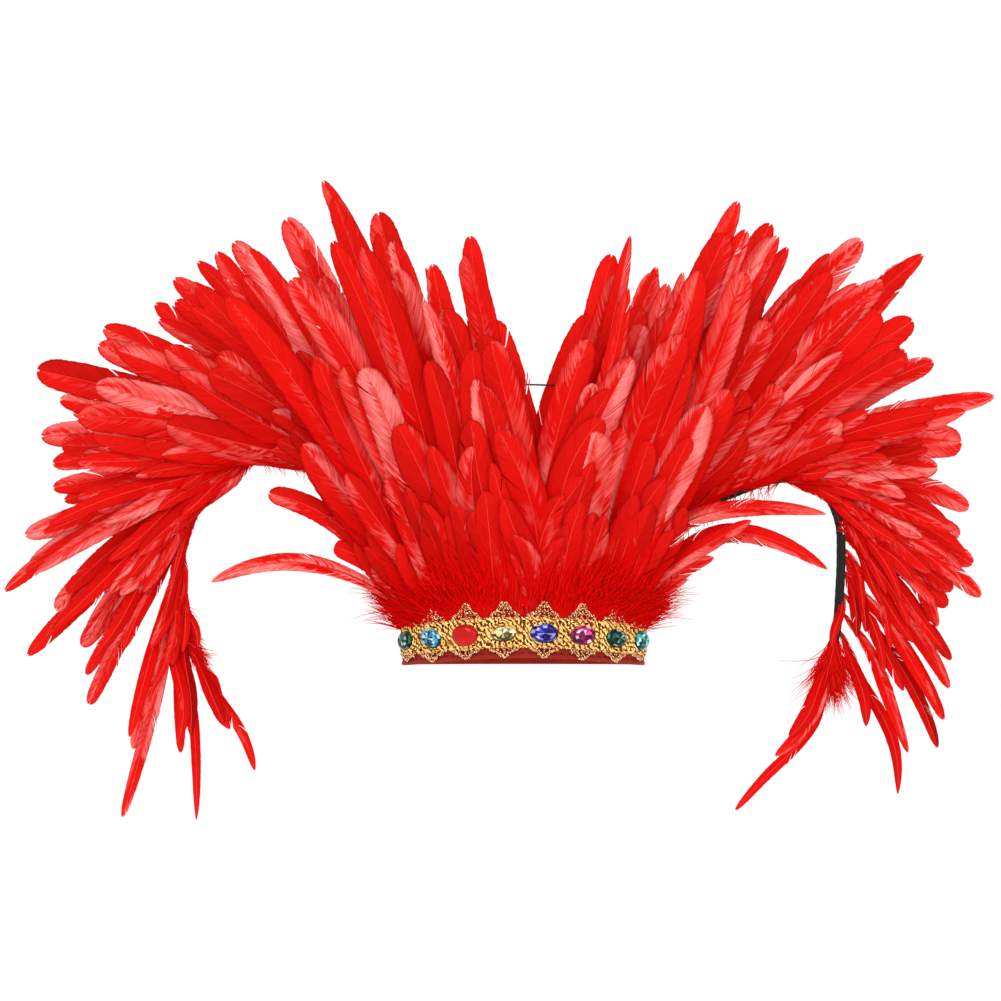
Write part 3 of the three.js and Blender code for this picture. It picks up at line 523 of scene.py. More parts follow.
@dataclass
class WirePath:
    """A wing wire's middle line, from its foot inside the band."""

    side: int
    course: Sequence[tuple[float, float]]
    radius: float = 2.2
    foot_angle: float = math.radians(58)
    foot_room: float = 0.8
    foot_top: float = 42.0
    sweep: float = 0.2
    steps: int = 900
    points: np.ndarray = field(init=False)
    lengths: np.ndarray = field(init=False)

    def __post_init__(self) -> None:
        """Walks the curve once, so that a place on it can be looked up by length."""
        feet = [(*self.foot(), z) for z in (2.0, self.foot_top / 2, self.foot_top)]
        out = [(x, self.depth(x), z) for x, z in self.course]
        self.points = self.smooth(np.array(feet + out, float))
        hops = np.linalg.norm(np.diff(self.points, axis=0), axis=1)
        self.lengths = np.concatenate([[0.0], np.cumsum(hops)])

    def foot(self) -> tuple[float, float]:
        """The x and y of the wire's foot."""
        inside = -(BAND.thickness + self.foot_room + self.radius)
        point = BAND.point(self.side * BAND.length_at(self.foot_angle), inside, 0)
        return point.x, point.y

    def depth(self, x: float | np.ndarray) -> float | np.ndarray:
        """The y of the swept surface that the wing lies on."""
        foot_x, foot_y = self.foot()
        return foot_y + self.sweep * (np.abs(x) - abs(foot_x))

    def smooth(self, knots: np.ndarray) -> np.ndarray:
        """Runs a centripetal curve through knots.

        Args:
            knots: Points to pass through, a row each.

        Returns:
            Close points along the curve.
        """
        ends = np.vstack([2 * knots[0] - knots[1], knots, 2 * knots[-1] - knots[-2]])
        places = np.linspace(0, len(knots) - 1, self.steps)
        low = np.minimum(places.astype(int), len(knots) - 2)
        t = (places - low)[:, None]
        p0, p1, p2, p3 = (ends[low + k] for k in range(4))
        gaps = [np.sum((b - a) ** 2, axis=1)[:, None] ** 0.25 for a, b in ((p0, p1), (p1, p2), (p2, p3))]
        d0, d1, d2 = gaps
        t1 = ((p1 - p0) / d0 - (p2 - p0) / (d0 + d1) + (p2 - p1) / d1) * d1
        t2 = ((p2 - p1) / d1 - (p3 - p1) / (d1 + d2) + (p3 - p2) / d2) * d1
        c2 = -3 * p1 + 3 * p2 - 2 * t1 - t2
        c3 = 2 * p1 - 2 * p2 + t1 + t2
        return p1 + t1 * t + c2 * t ** 2 + c3 * t ** 3

    @property
    def whole(self) -> float:
        """The wire's length."""
        return float(self.lengths[-1])

    def at(self, length: float) -> tuple[np.ndarray, np.ndarray]:
        """The point and the direction at a length from the foot."""
        length = min(max(length, 0.0), self.whole)
        here = np.array([np.interp(length, self.lengths, self.points[:, k]) for k in range(3)])
        near = [np.array([np.interp(min(max(length + d, 0.0), self.whole), self.lengths, self.points[:, k])
                          for k in range(3)]) for d in (-0.8, 0.8)]
        way = near[1] - near[0]
        return here, way / np.linalg.norm(way)

    def outward(self, way: np.ndarray) -> np.ndarray:
        """The direction away from the inside of the arch."""
        out = np.array([-self.side * way[2], 0.0, self.side * way[0]])
        return out / np.linalg.norm(out)


# Feathers


class Vane(Enum):
    """How a feather's barbs hold together."""

    SMOOTH = "smooth"
    DOWNY = "downy"


BLADE_ALONG = (0, 0.1, 0.22, 0.38, 0.55, 0.7, 0.84, 0.91, 0.945, 0.965, 0.98, 0.99, 0.996, 1)
BLADE_BLUNT = (0.24, 0.42, 0.6, 0.84, 1, 1.06, 1.06, 1.02, 0.96, 0.87, 0.71, 0.52, 0.34, 0)
BLADE_SHARP = (0.24, 0.4, 0.55, 0.8, 1, 0.94, 0.74, 0.56, 0.42, 0.31, 0.2, 0.12, 0.06, 0)


@dataclass
class Plume:
    """One feather: its middle line in x and z, the surface it lies on, and its blade."""

    start: np.ndarray
    bend: np.ndarray
    end: np.ndarray
    depth: Depth
    width: float
    blunt: float
    # tone: how much painted sheen the plume takes; below nought, how much painted shade.
    tone: float = 0.4
    vane: Vane = Vane.SMOOTH
    down: float = 0.12
    roll: float = 0.0
    cup: float = 0.1
    curl: float = 0.0
    # lean_light: painted light on one side of the vane, the other side darker.
    lean_light: float = 0.0
    wave: float = 0.0
    foot: float = 0.24

    @property
    def length(self) -> float:
        """The middle line's length."""
        points = self.line(np.linspace(0, 1, 24))[0]
        return float(np.sum(np.linalg.norm(np.diff(points, axis=0), axis=1)))

    def line(self, s: np.ndarray) -> tuple[np.ndarray, np.ndarray]:
        """Points of the middle line and the directions across it, for shares of the way."""
        s = s[..., None]
        points = (1 - s) ** 2 * self.start + 2 * s * (1 - s) * self.bend + s ** 2 * self.end
        way = 2 * (1 - s) * (self.bend - self.start) + 2 * s * (self.end - self.bend)
        way /= np.maximum(np.linalg.norm(way, axis=-1, keepdims=True), 1e-9)
        across = np.stack([way[..., 1], -way[..., 0]], axis=-1)
        return points + across * self.wave * np.sin(math.tau * s) * np.clip(s * 3, 0, 1), across

    def half(self, s: np.ndarray) -> np.ndarray:
        """The vane's half width at shares of the way."""
        blunt = np.interp(s, BLADE_ALONG, BLADE_BLUNT)
        sharp = np.interp(s, BLADE_ALONG, BLADE_SHARP)
        share = sharp + (blunt - sharp) * self.blunt
        low = np.maximum(share, self.foot + (1 - self.foot) * s * 1.6)
        return np.where(s < 0.5, low, share) * self.width / 2

    def place(self, s: np.ndarray, across: np.ndarray, length: float) -> np.ndarray:
        """Turns shares of the way and distances across the quill into points.

        Args:
            s: Shares of the way from root to tip.
            across: Signed distances from the quill.
            length: The plume's length.

        Returns:
            Points, with the surface's cup, roll and curl in their depth.
        """
        middle, side = self.line(s)
        flat = middle + side * across[..., None]
        y = self.depth(flat, s * length)
        y = y + self.roll * across + self.cup * across ** 2 / (self.width / 2) + self.curl * np.clip(s, 0, 1) ** 2.5
        return np.stack([flat[..., 0], y, flat[..., 1]], axis=-1)


@dataclass
class FeatherBag:
    """Gathers the vanes and quills of many plumes, and makes one mesh of them."""

    rng: np.random.Generator
    lock_mm: float = 2.3
    slant: float = 0.85
    across: tuple[float, ...] = (0.0, 0.28, 0.58, 0.84, 1.0)
    points: list[np.ndarray] = field(default_factory=list)
    faces: list[np.ndarray] = field(default_factory=list)
    maps: list[np.ndarray] = field(default_factory=list)
    reaches: list[np.ndarray] = field(default_factory=list)
    tones: list[np.ndarray] = field(default_factory=list)
    slots: list[np.ndarray] = field(default_factory=list)
    count: int = 0

    def grid(self, points: np.ndarray, uv: np.ndarray, reach: np.ndarray, tone: np.ndarray, slot: int,
             closed: bool = False, flip: bool = False) -> None:
        """Adds strips of quads.

        Args:
            points: Points, shaped strips by rows by columns by 3.
            uv: Their places on the barbs' map.
            reach: Their shares of the way to the tip.
            tone: How much painted sheen each takes, and below nought how much painted shade.
            slot: The material's place.
            closed: Whether the last column joins the first.
            flip: Whether the faces turn over.
        """
        strips, rows, columns = points.shape[:3]
        index = np.arange(strips * rows * columns).reshape(strips, rows, columns) + self.count
        if closed:
            index = np.concatenate([index, index[:, :, :1]], axis=2)
        quads = np.stack([index[:, :-1, :-1], index[:, :-1, 1:], index[:, 1:, 1:], index[:, 1:, :-1]], axis=-1)
        quads = quads.reshape(-1, 4)
        self.faces.append(quads[:, ::-1] if flip else quads)
        self.points.append(points.reshape(-1, 3))
        self.maps.append(uv.reshape(-1, 2))
        self.reaches.append(reach.reshape(-1))
        self.tones.append(tone.reshape(-1))
        self.slots.append(np.full(len(quads), slot, np.int32))
        self.count += strips * rows * columns

    def split(self, low: np.ndarray, high: np.ndarray, length: float, many: int) -> None:
        """Opens gaps between locks, where barbs have come apart.

        Args:
            low: Where each lock's lower corner ends, changed in place.
            high: Where each lock's upper corner ends, changed in place.
            length: The plume's length.
            many: How many gaps.
        """
        if len(low) < 14:
            return
        for _ in range(many):
            at = int(self.rng.integers(len(low) // 3, len(low) - 6))
            gap = self.rng.uniform(0.6, 2.6) / length / 2
            for step in range(4):
                high[at - 1 - step] -= gap * (1 - step / 4)
                low[at - 1 - step] -= gap * (1 - (step + 1) / 4)
                low[at + step] += gap * (1 - step / 4)
                high[at + step] += gap * (1 - (step + 1) / 4)

    def vane(self, plume: Plume, side: int) -> None:
        """Adds one side of a plume's vane, lock by lock.

        Args:
            plume: The plume.
            side: 1 for the side to the right of the way to the tip, -1 for the left.
        """
        rng, length = self.rng, plume.length
        count = max(int(length / self.lock_mm), 10)
        slant = min(self.slant * plume.width / length, 0.3)
        starts = np.linspace(0.02, 0.99, count + 1)
        near = np.clip((1 - starts) / (3 * slant), 0, 1)
        ends = np.where(near < 1, 1 - 2 * slant * near ** 1.6, starts + slant)
        low, high = ends[:-1].copy(), ends[1:].copy()
        self.split(low, high, length, int(rng.random() < 0.4) + int(length / 170))
        loose = np.clip((plume.down - starts[:-1]) / 0.12 + 0.5, 0, 1)
        ragged = np.convolve((rng.random(count) < 0.02) & (starts[:-1] < 0.75), np.ones(3), "same") > 0
        loose = np.maximum(loose, (0.8 if plume.vane is Vane.DOWNY else 0.5) * ragged)
        high = low + (high - low) * (1 - 0.4 * loose)
        drift = rng.normal(0, 0.12, count) * loose * plume.width / length
        t = np.array(self.across)
        stretch = 1 + rng.normal(0, 0.012, count) + loose * rng.uniform(-0.2, 0.4, count)
        t_lock = t[None, None, :] * np.clip(stretch, 0.6, 1.5)[:, None, None]
        corner_starts = np.stack([starts[:-1], starts[:-1] + (starts[1:] - starts[:-1]) * 1.05], axis=1)
        corner_ends = np.stack([low + drift, high + drift], axis=1)
        along = corner_starts[..., None] + (corner_ends - corner_starts)[..., None] * t_lock ** 1.3
        edge = plume.half(np.clip(corner_ends, 0, 1))
        points = plume.place(along, side * edge[..., None] * t_lock ** 0.92, length)
        points[..., 1] += (rng.normal(0, 1.0, count) * loose)[:, None, None] * t ** 1.5
        points[..., 1] += rng.normal(0, 0.06, count)[:, None, None] * t
        # lean_light gives one side of the vane more painted sheen than the other.
        tone = plume.tone + side * plume.lean_light + rng.normal(0, 0.03, count)
        tones = np.broadcast_to(np.where(tone > 0, tone * (1 - 0.8 * loose), tone)[:, None, None], along.shape)
        uv = np.stack([
            np.broadcast_to(t * side, along.shape),
            np.broadcast_to(corner_starts[..., None] * length, along.shape),
        ], axis=-1)
        self.grid(points, uv, np.clip(along, 0, 1), np.clip(tones, -1, 1), 0, flip=side < 0)

    def strands(self, roots: np.ndarray, angles: np.ndarray, lengths: np.ndarray, width: float = 0.55,
                reach: float = 0.2, forward: float | np.ndarray = 0.1) -> None:
        """Adds loose strands of down.

        Args:
            roots: Where they start, a row each.
            angles: Their directions from +Z towards +X, in radians.
            lengths: Their lengths.
            width: Their width at the root.
            reach: Their place in the vane's colours.
            forward: How far they lean to the front, as a share of their length.
        """
        rng, many = self.rng, len(roots)
        s = np.linspace(0, 1, 5)
        way = np.stack([np.sin(angles), np.cos(angles)], axis=-1)
        across = np.stack([way[:, 1], -way[:, 0]], axis=-1)
        bend = rng.normal(0, 0.2, many)
        flat = (roots[:, None, [0, 2]] + way[:, None, :] * (lengths[:, None] * s)[..., None]
                + across[:, None, :] * (bend[:, None] * lengths[:, None] * s ** 2)[..., None])
        lean = rng.normal(-forward, 0.07, many)
        y = roots[:, None, 1] + (lean * lengths)[:, None] * s
        half = width / 2 * ((1 - s) ** 0.7 + 0.15)
        sides = [flat + across[:, None, :] * (half * k)[None, :, None] for k in (-1, 1)]
        points = np.stack([np.stack([side[..., 0], y, side[..., 1]], axis=-1) for side in sides], axis=2)
        reaches = np.broadcast_to(np.clip(reach + rng.normal(0, 0.08, many), 0, 1)[:, None, None], points.shape[:3])
        tones = np.broadcast_to(rng.uniform(-0.1, 0.25, many)[:, None, None], points.shape[:3])
        uv = np.zeros(points.shape[:3] + (2,))
        self.grid(points, uv, reaches, tones, 0)

    def ribbon(self, middles: np.ndarray, ups: np.ndarray, outs: np.ndarray, width: float, thick: float) -> None:
        """Adds a flat tape, closed at both ends.

        Args:
            middles: Points along its middle.
            ups: Directions across its width.
            outs: Directions across its thickness.
            width: Its width.
            thick: Its thickness.
        """
        corners = ((-1, -1), (0, -1.15), (1, -1), (1, 1), (0, 1.15), (-1, 1))
        rings = np.stack([middles + ups * (width / 2 * a) + outs * (thick / 2 * b) for a, b in corners], axis=1)
        ends = [np.repeat(middles[k][None, None], len(corners), axis=1) for k in (0, -1)]
        rings = np.concatenate([ends[0], rings, ends[1]])
        flat = np.zeros(rings.shape[:2])
        self.grid(rings[None], np.zeros((1, *rings.shape[:2], 2)), flat[None], flat[None], 2, closed=True)

    def quill(self, plume: Plume, thick: float) -> None:
        """Adds a plume's quill as a thin tapered rod.

        Args:
            plume: The plume.
            thick: The radius at the root.
        """
        s = np.linspace(-4 / plume.length, 0.975, 14)
        radius = thick * np.clip(1 - s, 0, 1) ** 0.8 + 0.1
        across = np.stack([-radius, 0 * s, radius, 0 * s], axis=1)
        spot = np.broadcast_to(s[:, None], across.shape)
        points = plume.place(spot, across, plume.length)
        points[..., 1] += np.stack([0 * s, radius * 1.1, 0 * s, -radius * 1.1], axis=1)
        uv = np.stack([across * 0, spot * plume.length], axis=-1)
        self.grid(points[None], uv[None], spot[None], across[None] * 0, 1, closed=True, flip=True)

    def add(self, plume: Plume, thick: float = 0.55) -> None:
        """Adds a whole plume. A down feather's quill is too fine to show."""
        self.vane(plume, 1)
        self.vane(plume, -1)
        if plume.vane is Vane.SMOOTH:
            self.quill(plume, thick)

    def build(self, name: str, materials: Sequence[bpy.types.Material]) -> bpy.types.Object:
        """Makes the object.

        Args:
            name: The piece's name.
            materials: The vane's and the quill's materials.

        Returns:
            The object, at the origin.
        """
        mesh = bpy.data.meshes.new(name)
        points = np.concatenate(self.points) * MM
        faces = np.concatenate(self.faces)
        mesh.vertices.add(len(points))
        mesh.vertices.foreach_set("co", points.astype(np.float32).ravel())
        mesh.loops.add(faces.size)
        mesh.loops.foreach_set("vertex_index", faces.astype(np.int32).ravel())
        mesh.polygons.add(len(faces))
        mesh.polygons.foreach_set("loop_start", np.arange(0, faces.size, 4, dtype=np.int32))
        mesh.polygons.foreach_set("loop_total", np.full(len(faces), 4, np.int32))
        mesh.update(calc_edges=True)
        mesh.polygons.foreach_set("material_index", np.concatenate(self.slots))
        mesh.polygons.foreach_set("use_smooth", np.ones(len(faces), bool))
        barbs = mesh.uv_layers.new(name="barbs")
        barbs.data.foreach_set("uv", np.concatenate(self.maps)[faces.ravel()].astype(np.float32).ravel())
        for label, values in (("reach", self.reaches), ("tone", self.tones)):
            layer = mesh.attributes.new(label, "FLOAT", "POINT")
            layer.data.foreach_set("value", np.concatenate(values).astype(np.float32))
        for material in materials:
            mesh.materials.append(material)
        mesh.validate()
        obj = bpy.data.objects.new(name, mesh)
        bpy.context.scene.collection.objects.link(obj)
        return obj


class Row(NamedTuple):
    """A row of plumes, as in the solids: way is -1 in front of the wire and 1 behind it."""

    name: str
    way: int
    reaches: tuple[float, ...]
    shift: float
    flare: float
    crown_flare: float
    crown_shingle: float


BACK = Row("back", 1, (1.0,), 0.0, 10, 9, 0.2)
FRONT = Row("front", -1, (0.86, 0.62), 0.2, 10, 11, 0.4)
LEAST_FRONT_WIDTH = 15.0
GAP = 0.3
TAPE_THICKNESS = 1.8
TAPE_WIDTH = 7.0
TAPE_END = 3.5
TAPE_OUTWARD = 2.2


def between(table: Sequence[Tip], place: float) -> Tip:
    """The table's row at a place between two rows."""
    low = min(max(int(math.floor(place)), 0), len(table) - 2)
    share = min(max(place - low, 0.0), 1.0)
    return Tip(*(a + (b - a) * share for a, b in zip(table[low], table[low + 1])))


def flare_at(flare: float, length: np.ndarray) -> np.ndarray:
    """How far a plume has parted from its row's surface at a length."""
    share = length / 100
    return flare * share * share / (1 + share)


def shingle_at(onward: np.ndarray) -> np.ndarray:
    """How far a plume lies over the next ones at a distance onward along its row."""
    near = np.minimum(onward, 20.0)
    return 0.2 * near + 0.06 * (onward - near)


class Extra(NamedTuple):
    """A layer of plumes between those of the solids: where they reach and how they lie."""

    row: Row
    first: float
    step: float
    last: float
    reach: tuple[float, float]
    lift: float
    width: float
    blunt: float
    # tone: the range of painted sheen that the layer's plumes take.
    tone: tuple[float, float]
    back: float = 0.0
    vane: Vane = Vane.SMOOTH


CROWN_EXTRAS = (
    Extra(BACK, 0.5, 1.0, 7.4, (0.93, 1.0), 1.0, 20, 0.65, (0.2, 0.9)),
    Extra(BACK, 0.2, 1.0, 7.4, (0.76, 0.92), 2.5, 22, 0.6, (0.0, 0.8)),
    Extra(FRONT, 0.3, 1.2, 7.2, (0.66, 0.86), 2.0, 24, 0.55, (0.0, 1.0)),
    Extra(FRONT, -0.3, 1.2, 7.4, (0.44, 0.66), 4.0, 25, 0.5, (0.0, 1.0)),
    Extra(FRONT, -0.5, 1.1, 7.6, (0.28, 0.46), 6.0, 21, 0.2, (0.0, 0.3)),
    Extra(FRONT, -0.6, 0.6, 8.0, (0.16, 0.32), 6.5, 17, 0.0, (0.0, 0.0), 0.0, Vane.DOWNY),
)
WING_EXTRAS = (
    Extra(BACK, 0.5, 1.0, 8.0, (0.9, 0.99), -1.0, 19, 0.65, (0.2, 0.9)),
    Extra(FRONT, 0.7, 1.2, 8.5, (0.66, 0.88), 1.0, 22, 0.6, (0.0, 1.0)),
    Extra(FRONT, 0.3, 1.4, 8.5, (0.44, 0.66), 2.5, 21, 0.5, (0.0, 0.8)),
    Extra(FRONT, 0.1, 1.3, 8.0, (0.28, 0.42), 3.5, 17, 0.3, (0.0, 0.3)),
    Extra(BACK, 8.5, 1.0, 15.6, (0.86, 0.97), -1.0, 15, 0.35, (0.0, 0.8), 1.5),
    Extra(FRONT, 8.7, 1.1, 16.0, (0.66, 0.84), 1.0, 14, 0.3, (0.0, 0.8), 2.5),
    Extra(FRONT, 8.2, 1.2, 21.0, (0.46, 0.62), 2.5, 13, 0.15, (0.0, 0.6), 3.0),
    Extra(FRONT, 9.0, 0.8, 22.5, (0.3, 0.46), 3.0, 11, 0.0, (0.0, 0.15), 3.0),
)


@dataclass
class Half:
    """One side of the headdress: its tables, its wire and how its plumes stand."""

    name: str
    side: int
    inset: float
    crown: Sequence[Tip]
    wing: Sequence[Tip]
    ends: Sequence[Tip]
    wire: WirePath
    rng: np.random.Generator
    crown_half_angle: float = math.radians(37)
    crown_part: float = 0.03

    def crown_seat(self, row: Row) -> tuple[float, float]:
        """The depth of a crown tape's middle from the band's face, and its lower edge's height."""
        inside = TAPE_THICKNESS / 2
        if row.way < 0:
            return -inside, BAND.height + GAP
        return -(BAND.thickness + 0.8 + inside), BAND.height - TAPE_WIDTH - 2

    def crown_depth(self, x: np.ndarray, middle: float) -> np.ndarray:
        """The depth of a crown row's surface at x: the band's curve, flat past the crown's end."""
        radius = BAND.front_radius + middle
        end = radius * math.sin(self.crown_half_angle)
        inside = np.minimum(np.abs(x), end)
        past = np.abs(x) - inside
        curved = BAND.front + BAND.front_radius - np.sqrt(radius * radius - inside * inside)
        return curved + math.tan(self.crown_half_angle) * 8 * (1 - np.exp(-past / 8))

    def spine(self, root: Vector, tip: tuple[float, float], bow: float) -> tuple[np.ndarray, ...]:
        """The three points of a plume's middle line, in x and z."""
        start, end = np.array([root.x, root.z]), np.array(tip)
        go = end - start
        bend = start + go / 2 + np.array([-go[1], go[0]]) * bow * self.side
        return start, bend, end

    def crown_plume(self, row: Row, place: float, reach: float, lift: float = 0.0, back: float = 0.0) -> Plume:
        """A plume of the crown.

        Args:
            row: The row whose surface it lies on.
            place: Its place in the crown's table.
            reach: Its share of the way to the outline.
            lift: How far it stands before that surface away from its root.
            back: How many places its root lies before its tip's.

        Returns:
            The plume, with the table's width.
        """
        middle, bottom = self.crown_seat(row)
        last = len(self.crown) - 1
        table = (*self.crown, *self.wing[:4])
        pitch = (BAND.length_at(self.crown_half_angle) - self.inset - TAPE_END) / last
        root = BAND.point(self.side * (self.inset + pitch * (place - back)), middle, bottom + TAPE_WIDTH / 2)
        goal = between(table, place)
        tip = (root.x + (goal.x - root.x) * reach, root.z + (goal.z - root.z) * reach)
        inner = max(1 - place / last, 0)
        flare_share = inner if row.way > 0 else -1

        def depth(flat: np.ndarray, along: np.ndarray) -> np.ndarray:
            x = flat[..., 0]
            share = np.clip((along - 30) / 60, 0, 1)
            follow = self.crown_depth(x, middle) - self.crown_depth(np.array(root.x), middle)
            y = root.y + follow * (1 - 0.5 * share) + flare_at(row.crown_flare, along) * flare_share
            y = y + row.way * row.crown_shingle * shingle_at(self.side * (x - root.x))
            y = y + self.side * self.crown_part * inner * along
            return y - lift * np.clip((along - 8) / 45, 0, 1)

        return Plume(*self.spine(root, tip, goal.bow), depth, goal.width, goal.blunt)

    def wing_plume(self, row: Row, place: float, reach: float, lift: float = 0.0, back: float = 0.0) -> Plume:
        """A plume of the wing. The arguments are those of crown_plume, with the wing's table."""
        wire = self.wire
        place = min(place, len(self.wing) - 1)
        back = min(back, max(place - 10, 0) * 0.6)
        at, way = self.on_wing(place - back)
        depth_from_wire = row.way * (wire.radius + GAP + TAPE_THICKNESS / 2)
        root = Vector(at + wire.outward(way) * TAPE_OUTWARD)
        goal = between(self.wing, place)
        tip = (root.x + (goal.x - root.x) * reach, root.z + (goal.z - root.z) * reach)
        course = np.array([way[0], way[2]])
        course /= np.linalg.norm(course)
        start = np.array([root.x, root.z])

        def depth(flat: np.ndarray, along: np.ndarray) -> np.ndarray:
            onward = (flat - start) @ course
            out = shingle_at(np.maximum(onward, -12)) * (0.3 if back else 1) + flare_at(row.flare, along)
            y = wire.depth(flat[..., 0]) + depth_from_wire + row.way * out
            return y - lift * np.clip((along - 5) / 40, 0, 1)

        return Plume(*self.spine(root, tip, goal.bow), depth, goal.width, goal.blunt)

    def side_plume(self, place: int, lift: float = 0.0, reach: float = 1.0) -> Plume:
        """A plume of the band's end."""
        first, last = BAND.length_at(math.radians(51)), BAND.length_at(math.radians(64))
        length = self.side * (last - (last - first) * place / (len(self.ends) - 1))
        root = BAND.point(length, -TAPE_THICKNESS / 2, BAND.height + GAP + 8)
        goal = self.ends[place]
        tip = (root.x + (goal.x - root.x) * reach, root.z + (goal.z - root.z) * reach)
        lean = -0.02 - 0.05 * (place % 2)

        def depth(flat: np.ndarray, along: np.ndarray) -> np.ndarray:
            return root.y + lean * along - lift * np.clip(along / 30, 0, 1) + 0 * flat[..., 0]

        return Plume(*self.spine(root, tip, goal.bow), depth, goal.width, goal.blunt)

    def on_wing(self, place: float) -> tuple[np.ndarray, np.ndarray]:
        """The wire's point and direction at a place of the wing's table."""
        first, last = self.wire.foot_top + TAPE_END, self.wire.whole - TAPE_END
        return self.wire.at(first + (last - first) * place / (len(self.wing) - 1))

    def crown_down(self, bag: FeatherBag, many: int = 1000) -> None:
        """Adds the down at the crown's foot, behind the lace's fans and thicker towards the side.

        Args:
            bag: Where it goes.
            many: How many strands.
        """
        rng = self.rng
        end = BAND.length_at(math.radians(54))
        lengths = end * rng.beta(1.5, 1.0, many)
        heights = 24 + 36 * rng.beta(0.8, 1.8, many)
        roots = np.array([BAND.point(self.side * u, 0.95 - 0.03 * z, z) for u, z in zip(lengths, heights)])
        share = lengths / end
        roots[:, 0] += self.side * (heights - 24) * share * 0.55
        roots[:, 1] -= rng.uniform(0, 6, many) * np.clip((heights - 34) / 12, 0, 1)
        angles = self.side * (share * 0.8 + rng.normal(0, 0.2, many))
        bag.strands(roots, angles, rng.uniform(12, 34, many), width=0.7, reach=0.2,
                    forward=-0.06 - 0.7 * share ** 2)

    def side_down(self, bag: FeatherBag, many: int = 700) -> None:
        """Adds the down at the band's end, which stands out past the crown.

        Args:
            bag: Where it goes.
            many: How many strands.
        """
        rng = self.rng
        turns = rng.uniform(math.radians(40), math.radians(74), many)
        heights = rng.uniform(22, 46, many)
        roots = np.array([BAND.point(self.side * BAND.length_at(a), -1, z) for a, z in zip(turns, heights)])
        roots[:, 0] += self.side * (heights - 22) * 0.5
        roots[:, 1] += rng.uniform(-3, 3, many)
        angles = self.side * np.minimum(0.65 + 0.5 * (turns - 0.7) + rng.normal(0, 0.28, many), 1.5)
        bag.strands(roots, angles, rng.uniform(9, 30, many), width=0.55, reach=0.4, forward=np.full(many, -0.2))

    def wing_down(self, bag: FeatherBag, row: Row, first: int, last: int) -> None:
        """Adds the barbs along the inside of the arch, those over the tape and the tuft at a bare wire's foot.

        Args:
            bag: Where they go.
            row: The row that they belong to.
            first: The first place of the stretch.
            last: The last place of the stretch.
        """
        rng = self.rng
        end = len(self.wing) - 1
        tuft, bare = last == end, self.side > 0
        arch = row.way > 0 and first < 9
        many = (620 if bare else 340) if tuft else 60 if first > 0 and not arch or bare else 260
        tuft_span = 1.3 if bare else 3.2
        places = end - rng.uniform(0, tuft_span, many) if tuft else rng.uniform(first, last + 0.9, many)
        roots, angles = [], []
        for place in places:
            at, way = self.on_wing(min(place, end))
            out = self.wire.outward(way)
            heading = math.atan2(out[0], out[2])
            inward = arch and place < 11.5 and rng.random() < 0.8
            start = at + out * (rng.uniform(-2, 1) if inward else rng.uniform(-2, 4))
            start[1] += row.way * rng.uniform(3.5, 5.5)
            roots.append(start)
            lean = self.side * rng.uniform(0.2, 1.1)
            if tuft:
                angles.append(math.atan2(way[0], way[2]) - 0.15 + rng.normal(0, 0.27))
            else:
                angles.append(heading + (math.pi + lean if inward else lean * 0.9 + rng.normal(0, 0.25)))
        lengths = rng.uniform(5, 13, many) + (6 if arch else 0)
        if tuft:
            lengths = rng.uniform(12, 36, many) * (1 if bare else 0.42)
        bag.strands(np.array(roots), np.array(angles), lengths, width=0.6 if tuft else 0.5, reach=0.6,
                    forward=-0.05 * row.way)

    def loosen(self, plume: Plume, tone: tuple[float, float] = (0.0, 1.0)) -> Plume:
        """Gives a plume its own tone, roll, cup and curl. Those low in the droop are a deeper red, painted shade that
        grows towards the bottom and is spread at random.
        """
        rng = self.rng
        # low: how far down the droop the plume starts; it pulls the tone below nought, painted shade.
        low = min(max((130 - plume.start[1]) / 120, 0.0), 1.0) if abs(plume.start[0]) > 150 else 0.1
        plume.tone = tone[0] + (tone[1] - tone[0]) * rng.beta(0.8, 1.4) - rng.uniform(-0.1, 1.25) * low
        plume.lean_light = rng.choice((-1, 1)) * rng.uniform(0, 0.32)
        plume.roll = rng.uniform(-0.2, 0.2)
        plume.cup = rng.uniform(0.08, 0.34)
        plume.curl = rng.uniform(-3.0, 1.5)
        plume.wave = rng.normal(0, 2.0) * min(plume.length / 120, 1)
        return plume

    def extras(self, layers: Sequence[Extra], make: Callable[..., Plume], bag: FeatherBag,
               span: tuple[float, float], row: Row) -> None:
        """Adds the plumes that lie between those of the solids.

        Args:
            layers: The layers to draw from.
            make: crown_plume or wing_plume.
            bag: Where they go.
            span: The places of the table that this piece holds.
            row: The row that this piece is.
        """
        for layer in (entry for entry in layers if entry.row is row):
            place = layer.first
            while place <= layer.last:
                turn = self.rng.uniform(-0.35, 0.35)
                reach = self.rng.uniform(*layer.reach)
                if span[0] <= max(place, 0) < span[1]:
                    plume = make(row, min(place + turn, layer.last), reach, layer.lift, layer.back)
                    narrow = 0.66 if make == self.wing_plume and place > 15 else 1.0
                    plume.width = layer.width * narrow * self.rng.uniform(0.8, 1.15)
                    plume.blunt = min(max(layer.blunt + self.rng.uniform(-0.25, 0.2), 0.0), 1.0)
                    sway = self.rng.normal(0, 0.015 if reach > 0.88 else 0.05) * plume.length
                    if make == self.wing_plume and 4 < place < 11:
                        sway -= self.side * 5.0
                    if make == self.crown_plume and place < 1:
                        sway = self.side * (abs(sway) + 4.0)
                    plume.bend = plume.bend + self.rng.normal(0, 4.0, 2) * min(plume.length / 100, 1)
                    plume.width = min(plume.width, 0.24 * plume.length)
                    plume.end = plume.end + plume.line(np.array(1.0))[1] * sway
                    plume.vane = layer.vane
                    plume.foot = 0.6 if reach < 0.5 or place > 14 else 0.34
                    quiet = place < 0.8 and reach < 0.7
                    self.loosen(plume, (0.0, 0.25) if quiet else layer.tone)
                    bag.add(plume)
                place += layer.step


